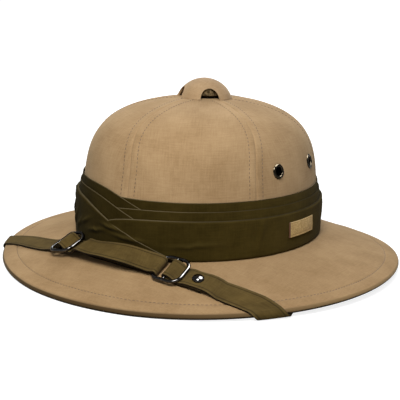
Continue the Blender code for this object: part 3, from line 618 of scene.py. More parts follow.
def colour_stops(tree, value, stops):
    """A colour ramp. Stops are pairs of a place on it and a colour."""
    node = add_node(tree, "ShaderNodeValToRGB", {"Fac": value})
    elements = node.color_ramp.elements
    while len(elements) < len(stops):
        elements.new(0.5)
    for element, (place, colour) in zip(elements, stops):
        element.position = place
        element.color = (*colour, 1)
    return node.outputs["Color"]


def sewing_thread(name, dark, light):
    made, tree, shader = new_material(name)
    where = add_node(tree, "ShaderNodeTexCoord").outputs["Object"]
    twist = colour_stops(tree, soft_noise(tree, where, 900.0, 2.0), ((0.0, dark), (1.0, light)))
    fill_in(shader, {"Base Color": twist, "Roughness": 0.7})
    return made


thread = sewing_thread("brown_thread", (0.045, 0.024, 0.012), (0.15, 0.09, 0.05))


def spaced_along(line, pitch):
    """Equally spaced (point, way, out) along a line of (point, out) pairs."""
    lengths = [0.0]
    for (here, _), (there, _) in zip(line, line[1:]):
        lengths.append(lengths[-1] + (there - here).length)
    count = max(int(lengths[-1] / pitch), 1)
    index = 0
    for step in range(count):
        wanted = (step + 0.5) * lengths[-1] / count
        while lengths[index + 1] < wanted:
            index += 1
        (here, out), (there, next_out) = line[index], line[index + 1]
        share = (wanted - lengths[index]) / (lengths[index + 1] - lengths[index])
        yield here.lerp(there, share), (there - here).normalized(), out.lerp(next_out, share)


def stitches(name, lines, finish=thread, slot="tan_cloth"):
    """One stitch is modelled, and a copy of it lies at each place of the lines."""
    one = primitive(
        bpy.ops.mesh.primitive_uv_sphere_add, "stitch", segments=6, ring_count=6, radius=0.5
    )
    one.data.transform(Matrix.Diagonal((*STITCH_SIZE, 1)))
    points = [vertex.co.copy() for vertex in one.data.vertices]
    faces = [list(face.vertices) for face in one.data.polygons]
    bpy.data.objects.remove(one)
    all_points = []
    all_faces = []
    for line in lines:
        for place, way, out in spaced_along(line, STITCH_PITCH):
            side = out.cross(way).normalized()
            turned = Matrix((way, side, way.cross(side))).transposed()
            start = len(all_points)
            all_points += [place + turned @ point for point in points]
            all_faces += [[start + index for index in face] for face in faces]
    mesh = bpy.data.meshes.new(name)
    mesh.from_pydata(all_points, [], all_faces)
    sewing = bpy.data.objects.new(name, mesh)
    bpy.context.scene.collection.objects.link(sewing)
    settle(sewing, finish, slot)


seam_lines = []
for panel in range(PANELS):
    for side in (-1, 1):
        line = []
        for height, _ in ring_places[SEAM_SEWING_START:]:
            radius = crown_radius(panel * 360 / PANELS, height)
            if radius < SEAM_SEWING_END:
                break
            angle = seam_angle(panel, height) + side * math.degrees(SEWING_OFFSET / radius)
            point = crown_point(angle, height, crown_relief(angle, height) + STITCH_LIFT)
            line.append((point, crown_normal(angle, height)))
        seam_lines.append(line)
stitches("crown_sewing", seam_lines)
hem_line = []
for column in range(BRIM_COLUMNS + 1):
    angle = 360 * column / BRIM_COLUMNS
    foot, edge, way_out, normal = brim_section(angle)
    top = edge + normal * BRIM_THICKNESS / 2
    width = hem_width(angle)
    point = top - way_out * width
    lift = brim_relief(point, width, (top - foot).length, width) + STITCH_LIFT
    hem_line.append((point + normal * lift, normal))
stitches("brim_sewing", [hem_line])

# --- Ventilator -------------------------------------------------------------------------------------
# A small pressed dome over the crown's top, covered in the same cotton, with four arched openings in its
# rim. It is dark inside, and its rim is sewn down on the crown's cloth.

CAP_RADIUS = 22.4 * MM
CAP_TOP = 148.3 * MM
CAP_WALL = 1.5 * MM
CAP_SEGMENTS = 96
ARCH_HALF_WIDTH = 7.6 * MM
ARCH_HEIGHT = 8.6 * MM
ARCH_ANGLES = (45, 135)
ARCH_ROUNDING = 0.35 * MM
TOUCHING = 0.001 * MM  # points nearer than this are one


def crown_height_at(x, y):
    """The height of the crown's top over a point of the plan."""
    wanted = math.hypot(x / (CROWN_WIDTH / 2), (y + CROWN_FORWARD) / (CROWN_LENGTH / 2))
    low, high = CROWN_SHOULDER, CROWN_TOP
    for _ in range(40):
        middle = (low + high) / 2
        if crown_share(middle) > wanted:
            low = middle
        else:
            high = middle
    return low


cap_base = crown_height_at(CAP_RADIUS, -CROWN_FORWARD) + PIECE_GAP
cap_rise = CAP_TOP - cap_base
cap_ball = (CAP_RADIUS**2 + cap_rise**2) / (2 * cap_rise)
cap_middle = Vector((0, -CROWN_FORWARD, CAP_TOP - cap_ball))


def soften(piece, width, segments, degrees):
    """Rounds the edges of a piece where its faces turn by more than an angle."""
    rim = piece.modifiers.new("rim", "BEVEL")
    rim.width = width
    rim.segments = segments
    rim.angle_limit = math.radians(degrees)


cap = primitive(
    bpy.ops.mesh.primitive_uv_sphere_add, "ventilator_cloth",
    segments=CAP_SEGMENTS, ring_count=CAP_SEGMENTS // 2, radius=cap_ball,
)
# the lower part of the ball is cut away, and its new edge follows the crown
cut_height = cap_base - cap_middle.z
shape_all(bpy.ops.mesh.bisect, plane_co=(0, 0, cut_height), plane_no=(0, 0, 1), clear_inner=True)
cap.data.transform(Matrix.Translation(cap_middle))
for vertex in cap.data.vertices:
    if vertex.co.z < cap_base + TOUCHING:
        vertex.co.z = crown_height_at(vertex.co.x, vertex.co.y) + PIECE_GAP
thicken(cap, CAP_WALL, -1)
cutters = []
for angle in ARCH_ANGLES:
    cutter = primitive(
        bpy.ops.mesh.primitive_cylinder_add, "arch_cutter",
        vertices=64, radius=ARCH_HALF_WIDTH, depth=4 * CAP_RADIUS,
    )
    turned = oval(1, 1, angle).to_track_quat("Z", "Y").to_matrix().to_4x4()
    stretch = Matrix.Diagonal((1, ARCH_HEIGHT / ARCH_HALF_WIDTH, 1, 1))
    low = Vector((0, -CROWN_FORWARD, cap_base))
    cutter.data.transform(Matrix.Translation(low) @ turned @ stretch)
    cut = cap.modifiers.new("arch", "BOOLEAN")
    cut.operation = "DIFFERENCE"
    cut.solver = "EXACT"
    cut.object = cutter
    cutters.append(cutter)
apply_modifiers(cap)
for cutter in cutters:
    bpy.data.objects.remove(cutter)
soften(cap, ARCH_ROUNDING, 2, 50)
apply_modifiers(cap)
cap_cotton = cotton(
    "tan_cap_cotton", (0.285, 0.182, 0.092), (0.40, 0.272, 0.150), patches=50.0, slub=0.26,
    nap=0.26, bump=0.35, sheen=0.16, tint=(1.0, 0.86, 0.66), shine=0.1,
)
settle(cap, cap_cotton, "tan_cloth", "ventilator_cap", degrees=50)

# --- Ventilator collar ------------------------------------------------------------------------------
# A drum of coarse brown canvas under the cap. It keeps rain out of the crown's top, and the air passes
# under its raised lower edge, which steps in and is painted near-black there as the shade of a gap.

COLLAR_RADIUS = 15.5 * MM
COLLAR_WALL = 1.0 * MM
COLLAR_TOP_GAP = 0.4 * MM  # below the cap's inside
COLLAR_GAP = 2.2 * MM
COLLAR_STEP = 1.6 * MM  # how far it steps in below that
GAP_SHADE = (-0.1 * MM, 0.9 * MM)  # heights above the gap between which the painted shade fades out

collar = primitive(
    bpy.ops.mesh.primitive_cylinder_add, "ventilator_collar", vertices=CAP_SEGMENTS,
    radius=COLLAR_RADIUS, depth=1, end_fill_type="NOTHING", location=(0, -CROWN_FORWARD, 0),
)
bpy.ops.object.transform_apply(location=True)
collar_lean = math.asin(COLLAR_RADIUS / cap_ball)
collar_top = cap_middle.z + (cap_ball - CAP_WALL - COLLAR_TOP_GAP) * math.cos(collar_lean)
for vertex in collar.data.vertices:
    if vertex.co.z > 0:
        vertex.co.z = collar_top
    else:
        vertex.co.z = crown_height_at(vertex.co.x, vertex.co.y) + PIECE_GAP
shape_all(bpy.ops.mesh.subdivide, number_cuts=6)
# the lowest part steps in, under the raised edge
for vertex in collar.data.vertices:
    above = vertex.co.z - crown_height_at(vertex.co.x, vertex.co.y)
    if above < COLLAR_GAP:
        reach = Vector((vertex.co.x, vertex.co.y + CROWN_FORWARD, 0))
        vertex.co -= reach.normalized() * COLLAR_STEP
thicken(collar, COLLAR_WALL, -1)
apply_modifiers(collar)


def place_in(tree, kind):
    """A place on the piece in one kind of coordinates, and its X, Y and Z."""
    place = add_node(tree, "ShaderNodeTexCoord").outputs[kind]
    return place, add_node(tree, "ShaderNodeSeparateXYZ", {"Vector": place}).outputs


canvas, canvas_tree, canvas_shader = new_material("brown_canvas")
canvas_place, canvas_parts = place_in(canvas_tree, "Object")
mesh_holes = soft_noise(canvas_tree, canvas_place, 520.0, 4.0)
canvas_colour = colour_stops(
    canvas_tree, mesh_holes, ((0.36, (0.030, 0.019, 0.008)), (0.66, (0.24, 0.17, 0.085)))
)
# the canvas low down is painted near-black, as the shade of the gap under its edge
shade_ends = [cap_base + COLLAR_GAP + end for end in GAP_SHADE]
lit = rescale(canvas_tree, canvas_parts["Z"], *shade_ends)
canvas_colour = mix_colours(canvas_tree, lit, (0.004, 0.003, 0.002), canvas_colour)
canvas_relief = raised(canvas_tree, mesh_holes, 0.6, 0.4 * MM)
fill_in(canvas_shader, {"Base Color": canvas_colour, "Normal": canvas_relief})
fill_in(canvas_shader, {"Roughness": 0.95, "Specular IOR Level": 0.05})
settle(collar, canvas, "olive_cotton", degrees=50)

# --- Eyelets ----------------------------------------------------------------------------------------
# Four two-part brass eyelets with a dark antique finish, pressed through the crown's wall: a rolled rim
# outside, a barrel through the wall and a flat washer inside.

EYELET_STEPS = 48
EYELET_PROFILE = (
    # radius and height above the crown, round the section from the bore's outer end
    (3.4, 0.3), (3.5, 0.7), (3.8, 1.0), (4.2, 1.15), (4.7, 1.15), (5.1, 1.0), (5.5, 0.7),
    (5.75, 0.3), (5.7, 0.05), (5.5, 0.0), (4.0, 0.0), (4.0, -4.1), (5.3, -4.1), (5.5, -4.3),
    (5.5, -4.7), (5.3, -4.9), (3.6, -4.9), (3.4, -4.7),
)


METAL_GRAIN = 260.0  # how fine its rubbed marks are
METAL_MARKS = (0.52, 0.72)  # values of that noise at which they start and are full
METAL_SMEARS = (0.7, 1.35)  # its roughness in the smears, as shares of what it is in all


def worn_metal_group():
    """A metal's colour and roughness, with bare bright marks where it is rubbed, and fine smears."""
    inputs = {"Finish Colour": "Color", "Rubbed Colour": "Color", "Wear": "Float", "Roughness": "Float"}
    group, given, out = new_group("worn_metal", inputs, {"Colour": "Color", "Roughness": "Float"})
    place = add_node(group, "ShaderNodeTexCoord").outputs["Object"]
    marks = rescale(group, soft_noise(group, place, METAL_GRAIN, 6.0), *METAL_MARKS)
    rubbing_and_fold_shading = calculate(group, "MULTIPLY", marks, given["Wear"])
    smears = rescale(group, soft_noise(group, place, 90.0, 4.0), 0.0, 1.0, *METAL_SMEARS)
    colour = mix_colours(group, rubbing_and_fold_shading, given["Finish Colour"], given["Rubbed Colour"])
    rough = calculate(group, "MULTIPLY", smears, given["Roughness"])
    fill_in(out, {"Colour": colour, "Roughness": rough})
    return group


worn_metal = worn_metal_group()


def metal(name, finish, rubbing_and_fold_shading, wear, roughness):
    made, tree, shader = new_material(name)
    surface = add_node(tree, "ShaderNodeGroup", node_tree=worn_metal)
    fill_in(surface, {"Finish Colour": finish, "Rubbed Colour": rubbing_and_fold_shading})
    fill_in(surface, {"Wear": wear, "Roughness": roughness})
    fill_in(shader, {"Base Color": surface.outputs["Colour"], "Metallic": 1.0})
    fill_in(shader, {"Roughness": surface.outputs["Roughness"]})
    return made


antique_brass = metal("antique_brass", (0.055, 0.045, 0.03), (0.42, 0.36, 0.26), 0.35, 0.2)


def turned_piece(name, profile, steps, frame_matrix, closed):
    """A profile of radii and heights, spun round the frame's Z axis."""
    piece = primitive(bpy.ops.mesh.primitive_plane_add, name, size=1)
    mesh = piece.data
    mesh.clear_geometry()
    points = [Vector((radius, 0, height)) for radius, height in profile]
    pairs = [(i, i + 1) for i in range(len(points) - 1)]
    if closed:
        pairs.append((len(points) - 1, 0))
    mesh.from_pydata(points, pairs, [])
    shape_all(bpy.ops.mesh.spin, steps=steps, angle=2 * math.pi, center=(0, 0, 0), axis=(0, 0, 1))
    shape_all(bpy.ops.mesh.remove_doubles, threshold=TOUCHING)
    shape_all(bpy.ops.mesh.normals_make_consistent, inside=False)
    mesh.transform(frame_matrix)
    return piece


for place, place_matrix in eyelets.items():
    eyelet = turned_piece(
        "eyelet_ring_" + place, [(r * MM, h * MM) for r, h in EYELET_PROFILE], EYELET_STEPS,
        place_matrix, True,
    )
    settle(eyelet, antique_brass, "eyelet_metal", "eyelet_" + place)

# --- Puggaree ---------------------------------------------------------------------------------------
# One long olive cotton scarf, folded into three pleats and wound round the foot of the crown. At the
# front its end slopes down over its start, and along each fold's edge a line is painted: a pale
# highlight on the rubbed fold at the front, and a dark shadow along the sides and back.

PLEATS = (
    # name, height on the left and on the right, slope for each degree and the angle where that starts,
    # droop at its start, and lift at its two ends
    ("upper", 67.9 * MM, 74.3 * MM, 0.78 * MM, -8.5, 0.0, (1.0 * MM, 1.45 * MM)),
    ("middle", 61.6 * MM, 68.4 * MM, 0.80 * MM, -12.5, 2.4 * MM, (2.2 * MM, 2.6 * MM)),
    ("lower", 55.1 * MM, 61.5 * MM, 0.80 * MM, -20.5, 4.6 * MM, (3.25 * MM, 3.65 * MM)),
)
PLEAT_BEND = 5.0  # degrees over which the slope sets in
PLEAT_RISE = (100, 290)  # degrees between which it goes from the left's height to the right's
DROOP_START = -4  # the angle where a pleat's start droops by all of its droop
DROOP_LENGTH = 9  # degrees over which it comes up from that
PLEAT_CELLS = 540  # along it
PLEAT_SHORTEST = 5 * MM
COTTON_THICKNESS = 0.3 * MM
COTTON_WAVES = 0.12 * MM
COTTON_WAVE_RATE = 0.22  # per degree
FOLD_RADIUS = 0.24 * MM
FOLD_CALM = 4 * MM  # creases and waves fade out this near a fold
TUCK = 2.5 * MM  # how far a pleat goes on under the one below it
BAND_GAP = 0.25 * MM  # between the band's lower edge and the brim
ROUND_IN = 1.3 * MM  # the band's lower edge rounds in by this much, where it meets the brim
# the angles of a pleat's start and end, which lie under the pleats that cross them
PLEAT_SPANS = {"upper": (-3.0, 371.0), "middle": (-4.0, 369.0), "lower": (-12.0, 384.0)}
CREASE_DEPTH = 2.8  # times the depths below, in mm
CREASE_SHARE = 0.35  # how much of the creases the two upper pleats have
CREASE_REACH = 0.7 * MM  # its slope is taken this far up and down
CREASE_SHADE_MOST = 0.8  # the most painted shade on a crease's lower side
CREASE_LIGHT_MOST = 0.5  # the most painted light on its upper side
CREASES = (
    # angle in degrees, height and length in mm, turn from level in degrees, width in mm, and depth
    (-50, 50.0, 22, 62, 1.6, 0.55), (-43, 44.0, 20, 55, 1.5, 0.6), (-35, 41.0, 17, 50, 1.4, 0.6),
    (-28, 39.0, 15, 40, 1.3, 0.5), (-58, 42.0, 22, 75, 1.8, 0.4), (-21, 44.0, 14, 28, 1.2, 0.5),
    (-13, 40.0, 16, 14, 1.2, 0.55), (-4, 45.0, 16, -8, 1.3, 0.45), (4, 39.0, 22, -6, 1.4, 0.4),
    (30, 37.0, 30, 4, 1.6, 0.25), (60, 46.0, 30, 80, 2.2, 0.2), (118, 45.0, 26, 70, 2.0, 0.3),
    (150, 40.0, 24, 60, 1.8, 0.35), (195, 46.0, 26, 75, 2.0, 0.3), (240, 42.0, 24, 65, 1.8, 0.3),
    (275, 48.0, 26, 70, 2.0, 0.35),
)


def pleat_height(index, angle):
    """Height of a pleat's upper edge. Index 3 is the lower edge of the band."""
    if index == len(PLEATS):
        return CROWN_FOOT + PIECE_GAP
    _, left, right, slope, start, droop, _ = PLEATS[index]
    level = left + (right - left) * smooth_step(angle, *PLEAT_RISE)
    if angle < 180:
        return level - droop * math.exp((DROOP_START - angle) / DROOP_LENGTH)
    past = (angle - 360 - start) / PLEAT_BEND
    return level - slope * PLEAT_BEND * math.log1p(math.exp(past))


def creased(angle, height):
    """The creases' relief at a place of the band."""
    total = 0.0
    for middle, level, length, turn, width, depth in CREASES:
        off = (angle - middle + 180) % 360 - 180
        along = math.radians(off) * CROWN_WIDTH / 2
        rise = height - level * MM
        lean = math.radians(turn)
        down_it = (along * math.cos(lean) + rise * math.sin(lean)) / (length * MM / 2)
        across = (rise * math.cos(lean) - along * math.sin(lean)) / (width * MM)
        if abs(down_it) < 2 and abs(across) < 4:
            bend = noise.noise(Vector((down_it * 2, middle, 0)))
            total += depth * MM * math.exp(-(down_it**2) - (across + bend) ** 2)
    return CREASE_DEPTH * total


def laid_cloth(name, along_cells, across_cells, place):
    """A cloth, laid where place puts each (along, across) share of it. Place also gives its UVs."""
    cloth = primitive(
        bpy.ops.mesh.primitive_grid_add, name,
        x_subdivisions=along_cells, y_subdivisions=across_cells, size=1,
    )
    cut = []
    for vertex in cloth.data.vertices:
        point, flat = place(vertex.co.x + 0.5, vertex.co.y + 0.5)
        vertex.co = point
        cut.append(flat)
    for loop in cloth.data.loops:
        cloth.data.uv_layers.active.data[loop.index].uv = cut[loop.vertex_index]
    return cloth


# rows of a pleat's section: distance from its fold, down behind it (negative) or down its face
BACK_ROWS = (-6.0, -4.0, -2.0, -1.0, -0.5)
FOLD_TURNS = (150, 120, 90, 60, 30)
FACE_ROWS = (0.4, 0.9, 1.6, 2.6)
FACE_SHARES = 24

olive_cotton = cotton(
    "olive_band_cotton", (0.039, 0.0258, 0.0038), (0.066, 0.0447, 0.0085), patches=40.0, slub=0.3,
    nap=0.2, bump=0.3, sheen=0.02, tint=(0.8, 0.75, 0.5), shine=0.03, place="UV",
)
# along the scarf: how far the painted line on its folds goes from dark shadow to pale highlight, and how
# much of its colour is left
BAND_LENGTH = 0.60
FOLD_LIGHT_SHARES = (
    (0.0, 1.0), (0.07, 0.85), (0.12, 0.35), (0.2, 0.12), (0.72, 0.2), (0.84, 0.55), (1.0, 0.9),
)
FADES = (
    (0.0, 0.53), (0.06, 0.56), (0.12, 0.66), (0.2, 0.87), (0.3, 1.0), (0.6, 0.85), (0.8, 0.40),
    (1.0, 0.46),
)
# the painted fold line's colours: shadow, and highlight on the rubbed fold
FOLD_SHADOW_AND_HIGHLIGHT = ((0.010, 0.007, 0.002), (0.115, 0.090, 0.048))
FOLD_EDGE = (0.02 * MM, 0.3 * MM)  # distances from a fold between which its painted line ends
# painted shade on the creases' lower sides, and painted light on their upper ones
CREASE_SHADE_COLOURS = {"Red": (0.006, 0.004, 0.001), "Green": (0.085, 0.063, 0.019)}
band_tree, band_shader, band_colour = colour_of(olive_cotton)
cut_place, cut_parts = place_in(band_tree, "UV")
along_band = calculate(band_tree, "DIVIDE", cut_parts["X"], BAND_LENGTH)
fold_light_share, fade = [
    colour_stops(band_tree, along_band, [(place, (value, value, value)) for place, value in stops])
    for stops in (FOLD_LIGHT_SHARES, FADES)
]
band_colour = mix_colours(band_tree, 1.0, band_colour, fade, blend="MULTIPLY")
# painted shade and light on the creases' slopes, from their attribute
painted_crease_shade = attribute_parts(band_tree, "painted_crease_shade")
for part, shade in CREASE_SHADE_COLOURS.items():
    band_colour = mix_colours(band_tree, painted_crease_shade[part], band_colour, shade)
# a painted line along each fold: dark shadow along the sides and back, pale highlight at the front
from_fold = calculate(band_tree, "ABSOLUTE", cut_parts["Y"])
rubbing_and_fold_shading = rescale(band_tree, from_fold, *FOLD_EDGE, 0.8, 0.0, kind="SMOOTHSTEP")
patchy = rescale(band_tree, soft_noise(band_tree, cut_place, 120.0, 3.0), 0.25, 0.55, 0.75)
rubbing_and_fold_shading = calculate(band_tree, "MULTIPLY", rubbing_and_fold_shading, patchy)
painted_fold_colour = mix_colours(band_tree, fold_light_share, *FOLD_SHADOW_AND_HIGHLIGHT)
fill_in(band_shader, {"Base Color": mix_colours(band_tree, rubbing_and_fold_shading, band_colour, painted_fold_colour)})


def pleat_section(index, angle, share):
    """(point, distance from the fold) of each row of a pleat's section at an angle."""
    start_lift, end_lift = PLEATS[index][-1]
    last = index == len(PLEATS) - 1
    lift = start_lift + (end_lift - start_lift) * share
    top = pleat_height(index, angle)
    foot, _, way_out, _ = brim_section(angle)
    floor = foot.z + way_out.z / math.hypot(way_out.x, way_out.y) * (lift - ROUND_IN) + BAND_GAP
    bottom = floor if last else pleat_height(index + 1, angle) - TUCK
    tall = max(top - bottom, PLEAT_SHORTEST)
    waves = COTTON_WAVES * noise.noise(Vector((angle * COTTON_WAVE_RATE, index * 7.0, 0)))
    bend = top - FOLD_RADIUS
    # height, distance from the crown, and distance from the fold
    rows = [(bend + down * MM, lift - 2 * FOLD_RADIUS, down * MM) for down in BACK_ROWS]
    for turn in FOLD_TURNS:
        around = math.radians(turn)
        reach = FOLD_RADIUS * math.cos(around) - FOLD_RADIUS
        rows.append((bend + FOLD_RADIUS * math.sin(around), lift + reach, 0.0))
    rows += [(bend - down * MM, lift, down * MM) for down in FACE_ROWS]
    start = FACE_ROWS[-1] * MM
    for step in range(1, FACE_SHARES + 1):
        down = start + (tall - start) * step / FACE_SHARES
        rows.append((bend - down, lift, down))
    found = []
    for height, offset, down in rows:
        # the scarf's end follows the relief of what it lies on, also at its fold
        near_fold = 1.0 if last and share > 0.5 else smooth_step(down, 0, FOLD_CALM)
        offset += (creased(angle, height) * (1 if last else CREASE_SHARE) + waves) * near_fold
        if last and down > 0:
            low = min(max((height - floor) / ROUND_IN, 0.0), 1.0)
            offset -= ROUND_IN * (1 - math.sqrt(1 - (1 - low) ** 2))
            point = crown_point(angle, CROWN_SHOULDER, offset)
            point.z = height
        else:
            point = crown_point(angle, height, offset)
        found.append((point, down))
    return found


for index, (name, *_) in enumerate(PLEATS):
    start, end = PLEAT_SPANS[name]
    sections = [
        pleat_section(index, start + (end - start) * step / PLEAT_CELLS, step / PLEAT_CELLS)
        for step in range(PLEAT_CELLS + 1)
    ]
    rows = len(sections[0]) - 1

    def lay(along, across):
        column = round(along * PLEAT_CELLS)
        point, down = sections[column][round(across * rows)]
        return point, (math.radians(end - start) * along * CROWN_WIDTH / 2, down)

    pleat = laid_cloth("puggaree_cloth_" + name, PLEAT_CELLS, rows, lay)
    thicken(pleat, COTTON_THICKNESS, 0)
    # each crease's slope is painted darker below and paler above, as shade and light from above
    crease_shade_layer = pleat.data.color_attributes.new("painted_crease_shade", "FLOAT_COLOR", "POINT")
    for vertex in pleat.data.vertices:
        angle = math.degrees(math.atan2(vertex.co.x, -vertex.co.y - CROWN_FORWARD))
        below = creased(angle, vertex.co.z - CREASE_REACH)
        slope = (below - creased(angle, vertex.co.z + CREASE_REACH)) / (2 * CREASE_REACH)
        dark = min(max(-slope, 0.0), CREASE_SHADE_MOST)
        pale = min(max(0.5 * slope, 0.0), CREASE_LIGHT_MOST)
        crease_shade_layer.data[vertex.index].color = (dark, pale, 0.0, 1.0)
    apply_modifiers(pleat)
    settle(pleat, olive_cotton, "olive_cotton", "puggaree_" + name, degrees=60)

# --- Patch ------------------------------------------------------------------------------------------
# A small tan patch of cork cloth, glued and tacked on the band on the wearer's left. It is left bare,
# and its cut edge towards the front is dark.

PATCH_LENGTH = 36 * MM
PATCH_HEIGHT = 11.4 * MM
PATCH_THICKNESS = 1.0 * MM
PATCH_ANGLE = 87.5
PATCH_MIDDLE = 42.0 * MM
PATCH_CELLS = 48
PATCH_LIFT = 0.85 * MM  # from the middle of the lowest pleat's cloth to its own
PATCH_GROOVE = (1.3 * MM, 0.5 * MM)  # its place in from the patch's edges, and its half width
PATCH_GROOVE_DEPTH = 0.22 * MM
PATCH_ROUNDING = 0.3 * MM
patch_lift = PLEATS[-1][-1][0] + PATCH_LIFT
patch_arc = math.degrees(PATCH_LENGTH / (CROWN_WIDTH / 2 + patch_lift))

cork, cork_tree, cork_shader = new_material("tan_cork_cloth")
cork_place, _ = place_in(cork_tree, "Object")
_, cork_cut = place_in(cork_tree, "UV")
grain = add_node(cork_tree, "ShaderNodeTexVoronoi", {"Vector": cork_place, "Scale": 900.0})
blotches = soft_noise(cork_tree, cork_place, 260.0, 5.0)
speckle = calculate(cork_tree, "MULTIPLY", grain.outputs["Distance"], blotches)
cork_colour = colour_stops(
    cork_tree, speckle, ((0.08, (0.33, 0.20, 0.055)), (0.42, (0.51, 0.34, 0.115)))
)
cut_edge = rescale(cork_tree, cork_cut["X"], 0.9 * MM, 1.5 * MM, 0.95, 0.0)
cork_colour = mix_colours(cork_tree, cut_edge, cork_colour, (0.07, 0.018, 0.006))
cork_relief = raised(cork_tree, speckle, 0.3, 0.2 * MM)
fill_in(cork_shader, {"Base Color": cork_colour, "Normal": cork_relief, "Roughness": 0.75})


def patch_place(along, across):
    angle = PATCH_ANGLE + patch_arc * (along - 0.5)
    height = PATCH_MIDDLE + PATCH_HEIGHT * (across - 0.5)
    from_edge = min(min(along, 1 - along) * PATCH_LENGTH, min(across, 1 - across) * PATCH_HEIGHT)
    pressed = PATCH_GROOVE_DEPTH * bump_at(from_edge, *PATCH_GROOVE)
    point = crown_point(angle, height, patch_lift - pressed)
    return point, (along * PATCH_LENGTH, across * PATCH_HEIGHT)


label = laid_cloth("label_cloth", PATCH_CELLS, PATCH_CELLS // 2, patch_place)
thicken(label, PATCH_THICKNESS, 0)
soften(label, PATCH_ROUNDING, 2, 50)
apply_modifiers(label)
settle(label, cork, "label_cork", "label_patch", degrees=50)

# --- Chin strap -------------------------------------------------------------------------------------
# Two lengths of olive cotton strap, 17 mm wide, with a row of stitches along both edges. Each is sewn in
# at a temple inside the crown and comes round the brim's edge. The long one runs through the slider,
# round the ring and back. The short one holds the ring's bar and is riveted.

STRAP_WIDTH = 17 * MM
STRAP_THICKNESS = 1.4 * MM
STRAP_INSIDE = 20 * MM
# at distances past the slider or the ring: the tilt of its upper layers across it, and their rise
STRAP_TILTS = (
    ("slider", 9 * MM, 0.0, 0.0), ("slider", 14 * MM, -0.06, 0.0), ("ring", -14 * MM, 0.25, 0.4 * MM),
    ("ring", -9 * MM, 0.13, 0.8 * MM), ("ring", 9 * MM, 0.13, 0.8 * MM), ("ring", 22 * MM, 0.0, 0.0),
)
STRAP_TAB_ANGLE = 82.0  # where its ends go up inside the crown
STRAP_ROUTE = (
    # x, y of the middle line, and the side of the brim it lies on
    (-101.0, -33.0, "under"), (-121.0, -50.0, "under"), (-132.5, -70.0, "under"),
    (-119.5, -90.9, "top"), (-93.0, -98.9, "top"), (-52.0, -109.5, "top"), (-14.0, -118.2, "top"),
    (8.0, -119.4, "top"), (37.0, -114.0, "top"), (73.0, -111.0, "top"), (101.0, -109.2, "top"),
    (125.0, -89.5, "under"), (117.0, -60.0, "under"), (101.5, -34.5, "under"),
)
ROUTE_STEPS = 12
STRAP_LIES = PIECE_GAP + STRAP_THICKNESS / 2
STRAP_SLACK = 0.5 * MM  # how much looser it lies round the edge and under the brim
STRAP_SWELL = 5.0 * MM  # how far its crown side stands up before the edge on the wearer's left
SWELL_WALKS = (-44 * MM, -12 * MM, -9 * MM)  # where that starts, is full and starts to fade
SLANT_START = -22 * MM  # from here its cross lines turn, until they lie along the brim's edge
SLANT_FULL = -4 * MM
FOLD = math.pi * (BRIM_THICKNESS / 2 + STRAP_LIES)  # the walk round the edge
SLIDER_X = -48.2 * MM
SLIDER_TURN = 0.14  # the slider has turned a little on the strap
TURN_SPREAD = (9 * MM, 20 * MM)  # distances from it between which the strap is straight again
RING_X = 48.0 * MM
RIVET_X = 69.8 * MM
WIRE_RADIUS = 1.3 * MM
BAR_RADIUS = 0.9 * MM
FRAME_HALF_LENGTH = 11.2 * MM
FRAME_HALF_WIDTH = 11.0 * MM
FRAME_CORNER = 6.4 * MM
WIRE_SEAT = WIRE_RADIUS + PIECE_GAP + STRAP_THICKNESS / 2
BAR_SEAT = BAR_RADIUS + PIECE_GAP + STRAP_THICKNESS / 2
DOUBLE = STRAP_THICKNESS + PIECE_GAP
LOW_WIRE = STRAP_LIES + WIRE_SEAT
HIGH_WIRE = LOW_WIRE + DOUBLE
BAR_HEIGHT = (LOW_WIRE + HIGH_WIRE) / 2
UPPER_LAYERS = (STRAP_LIES + 0.3 * DOUBLE, STRAP_LIES + 1.5 * DOUBLE)  # lifts where the tilt sets in
HOVER = 10.6 * MM  # how high its upper run stands between the slider and the ring
HOVER_X = 8 * MM
HOVER_SOON = 0.76  # share of that height at which it already stands beside the slider
HOVER_RISE = 12 * MM  # the length over which it rises to that
PULL = 1.9 * MM  # how far it is pulled off the brim at the slider
PULL_EASE = 22 * MM
PULL_PLACES = (-30 * MM, 12 * MM, 40 * MM)  # past the slider: where it starts, slackens and ends
UNDER_SHIFT = 6.5 * MM  # how far the under run's outer edge lies nearer the crown
UNDER_CRUMPLE = 0.26  # its middle is shifted less by this share, and its inner edge by twice this
UNDER_LAYERS = (STRAP_LIES + 0.3 * DOUBLE, STRAP_LIES + 0.9 * DOUBLE)
UNDER_START = (-17 * MM, 8 * MM)  # past the slider's second wire
UNDER_LESS = (-40 * MM, 0.6)  # from here to the ring's first wire it is less by this share
UNDER_END = (2 * MM, 8 * MM)  # past the ring's first wire
LOOP_SLACK = 1.1 * MM  # its loop round the ring's wire stands off by this much
CREST_SLACK = 0.35 * MM  # and its top over the slider's bar by this much
FINE = 0.8 * MM  # steps along it
COARSE = 3 * MM
CHART_REACH = 1.5 * MM  # its direction is taken this far ahead and behind
CORNER_SHARES = (1.5, 1.25, 1, 0.75, 0.5, 0.25, 0, -1)  # rows of points near the inner corner
SLANT_SHARES = (0.1, 0.2, 0.35, 0.5, 0.65, 0.8, 1.0)  # and where the strap slants
STRAP_CELLS = 10  # across its width
STRAP_ROUNDING = 0.45 * MM
STRAP_SEWING = 2.1 * MM  # from its edge to the row of stitches
RIVET_WASHER = 0.8 * MM
RIVET_FLAT = (5 * MM, 7.5 * MM)  # the layers lie flat this far before the rivet and past it


def curve_through(rows, steps):
    """Points on a smooth curve through the rows, with equal steps between each pair."""
    ends = [2 * rows[0] - rows[1]] + list(rows) + [2 * rows[-1] - rows[-2]]
    points = []
    for before, start, end, after in zip(ends, ends[1:], ends[2:], ends[3:]):
        for step in range(steps):
            t = step / steps
            square = (2 * before - 5 * start + 4 * end - after) * t * t
            cube = (3 * start - before - 3 * end + after) * t**3
            points.append(0.5 * (2 * start + (end - before) * t + square + cube))
    points.append(rows[-1].copy())
    return points


def walk_to_corner(angle):
    _, edge, way_out, _ = brim_section(angle)
    return FOLD + (edge - inner_corner(angle)[0]).dot(way_out)


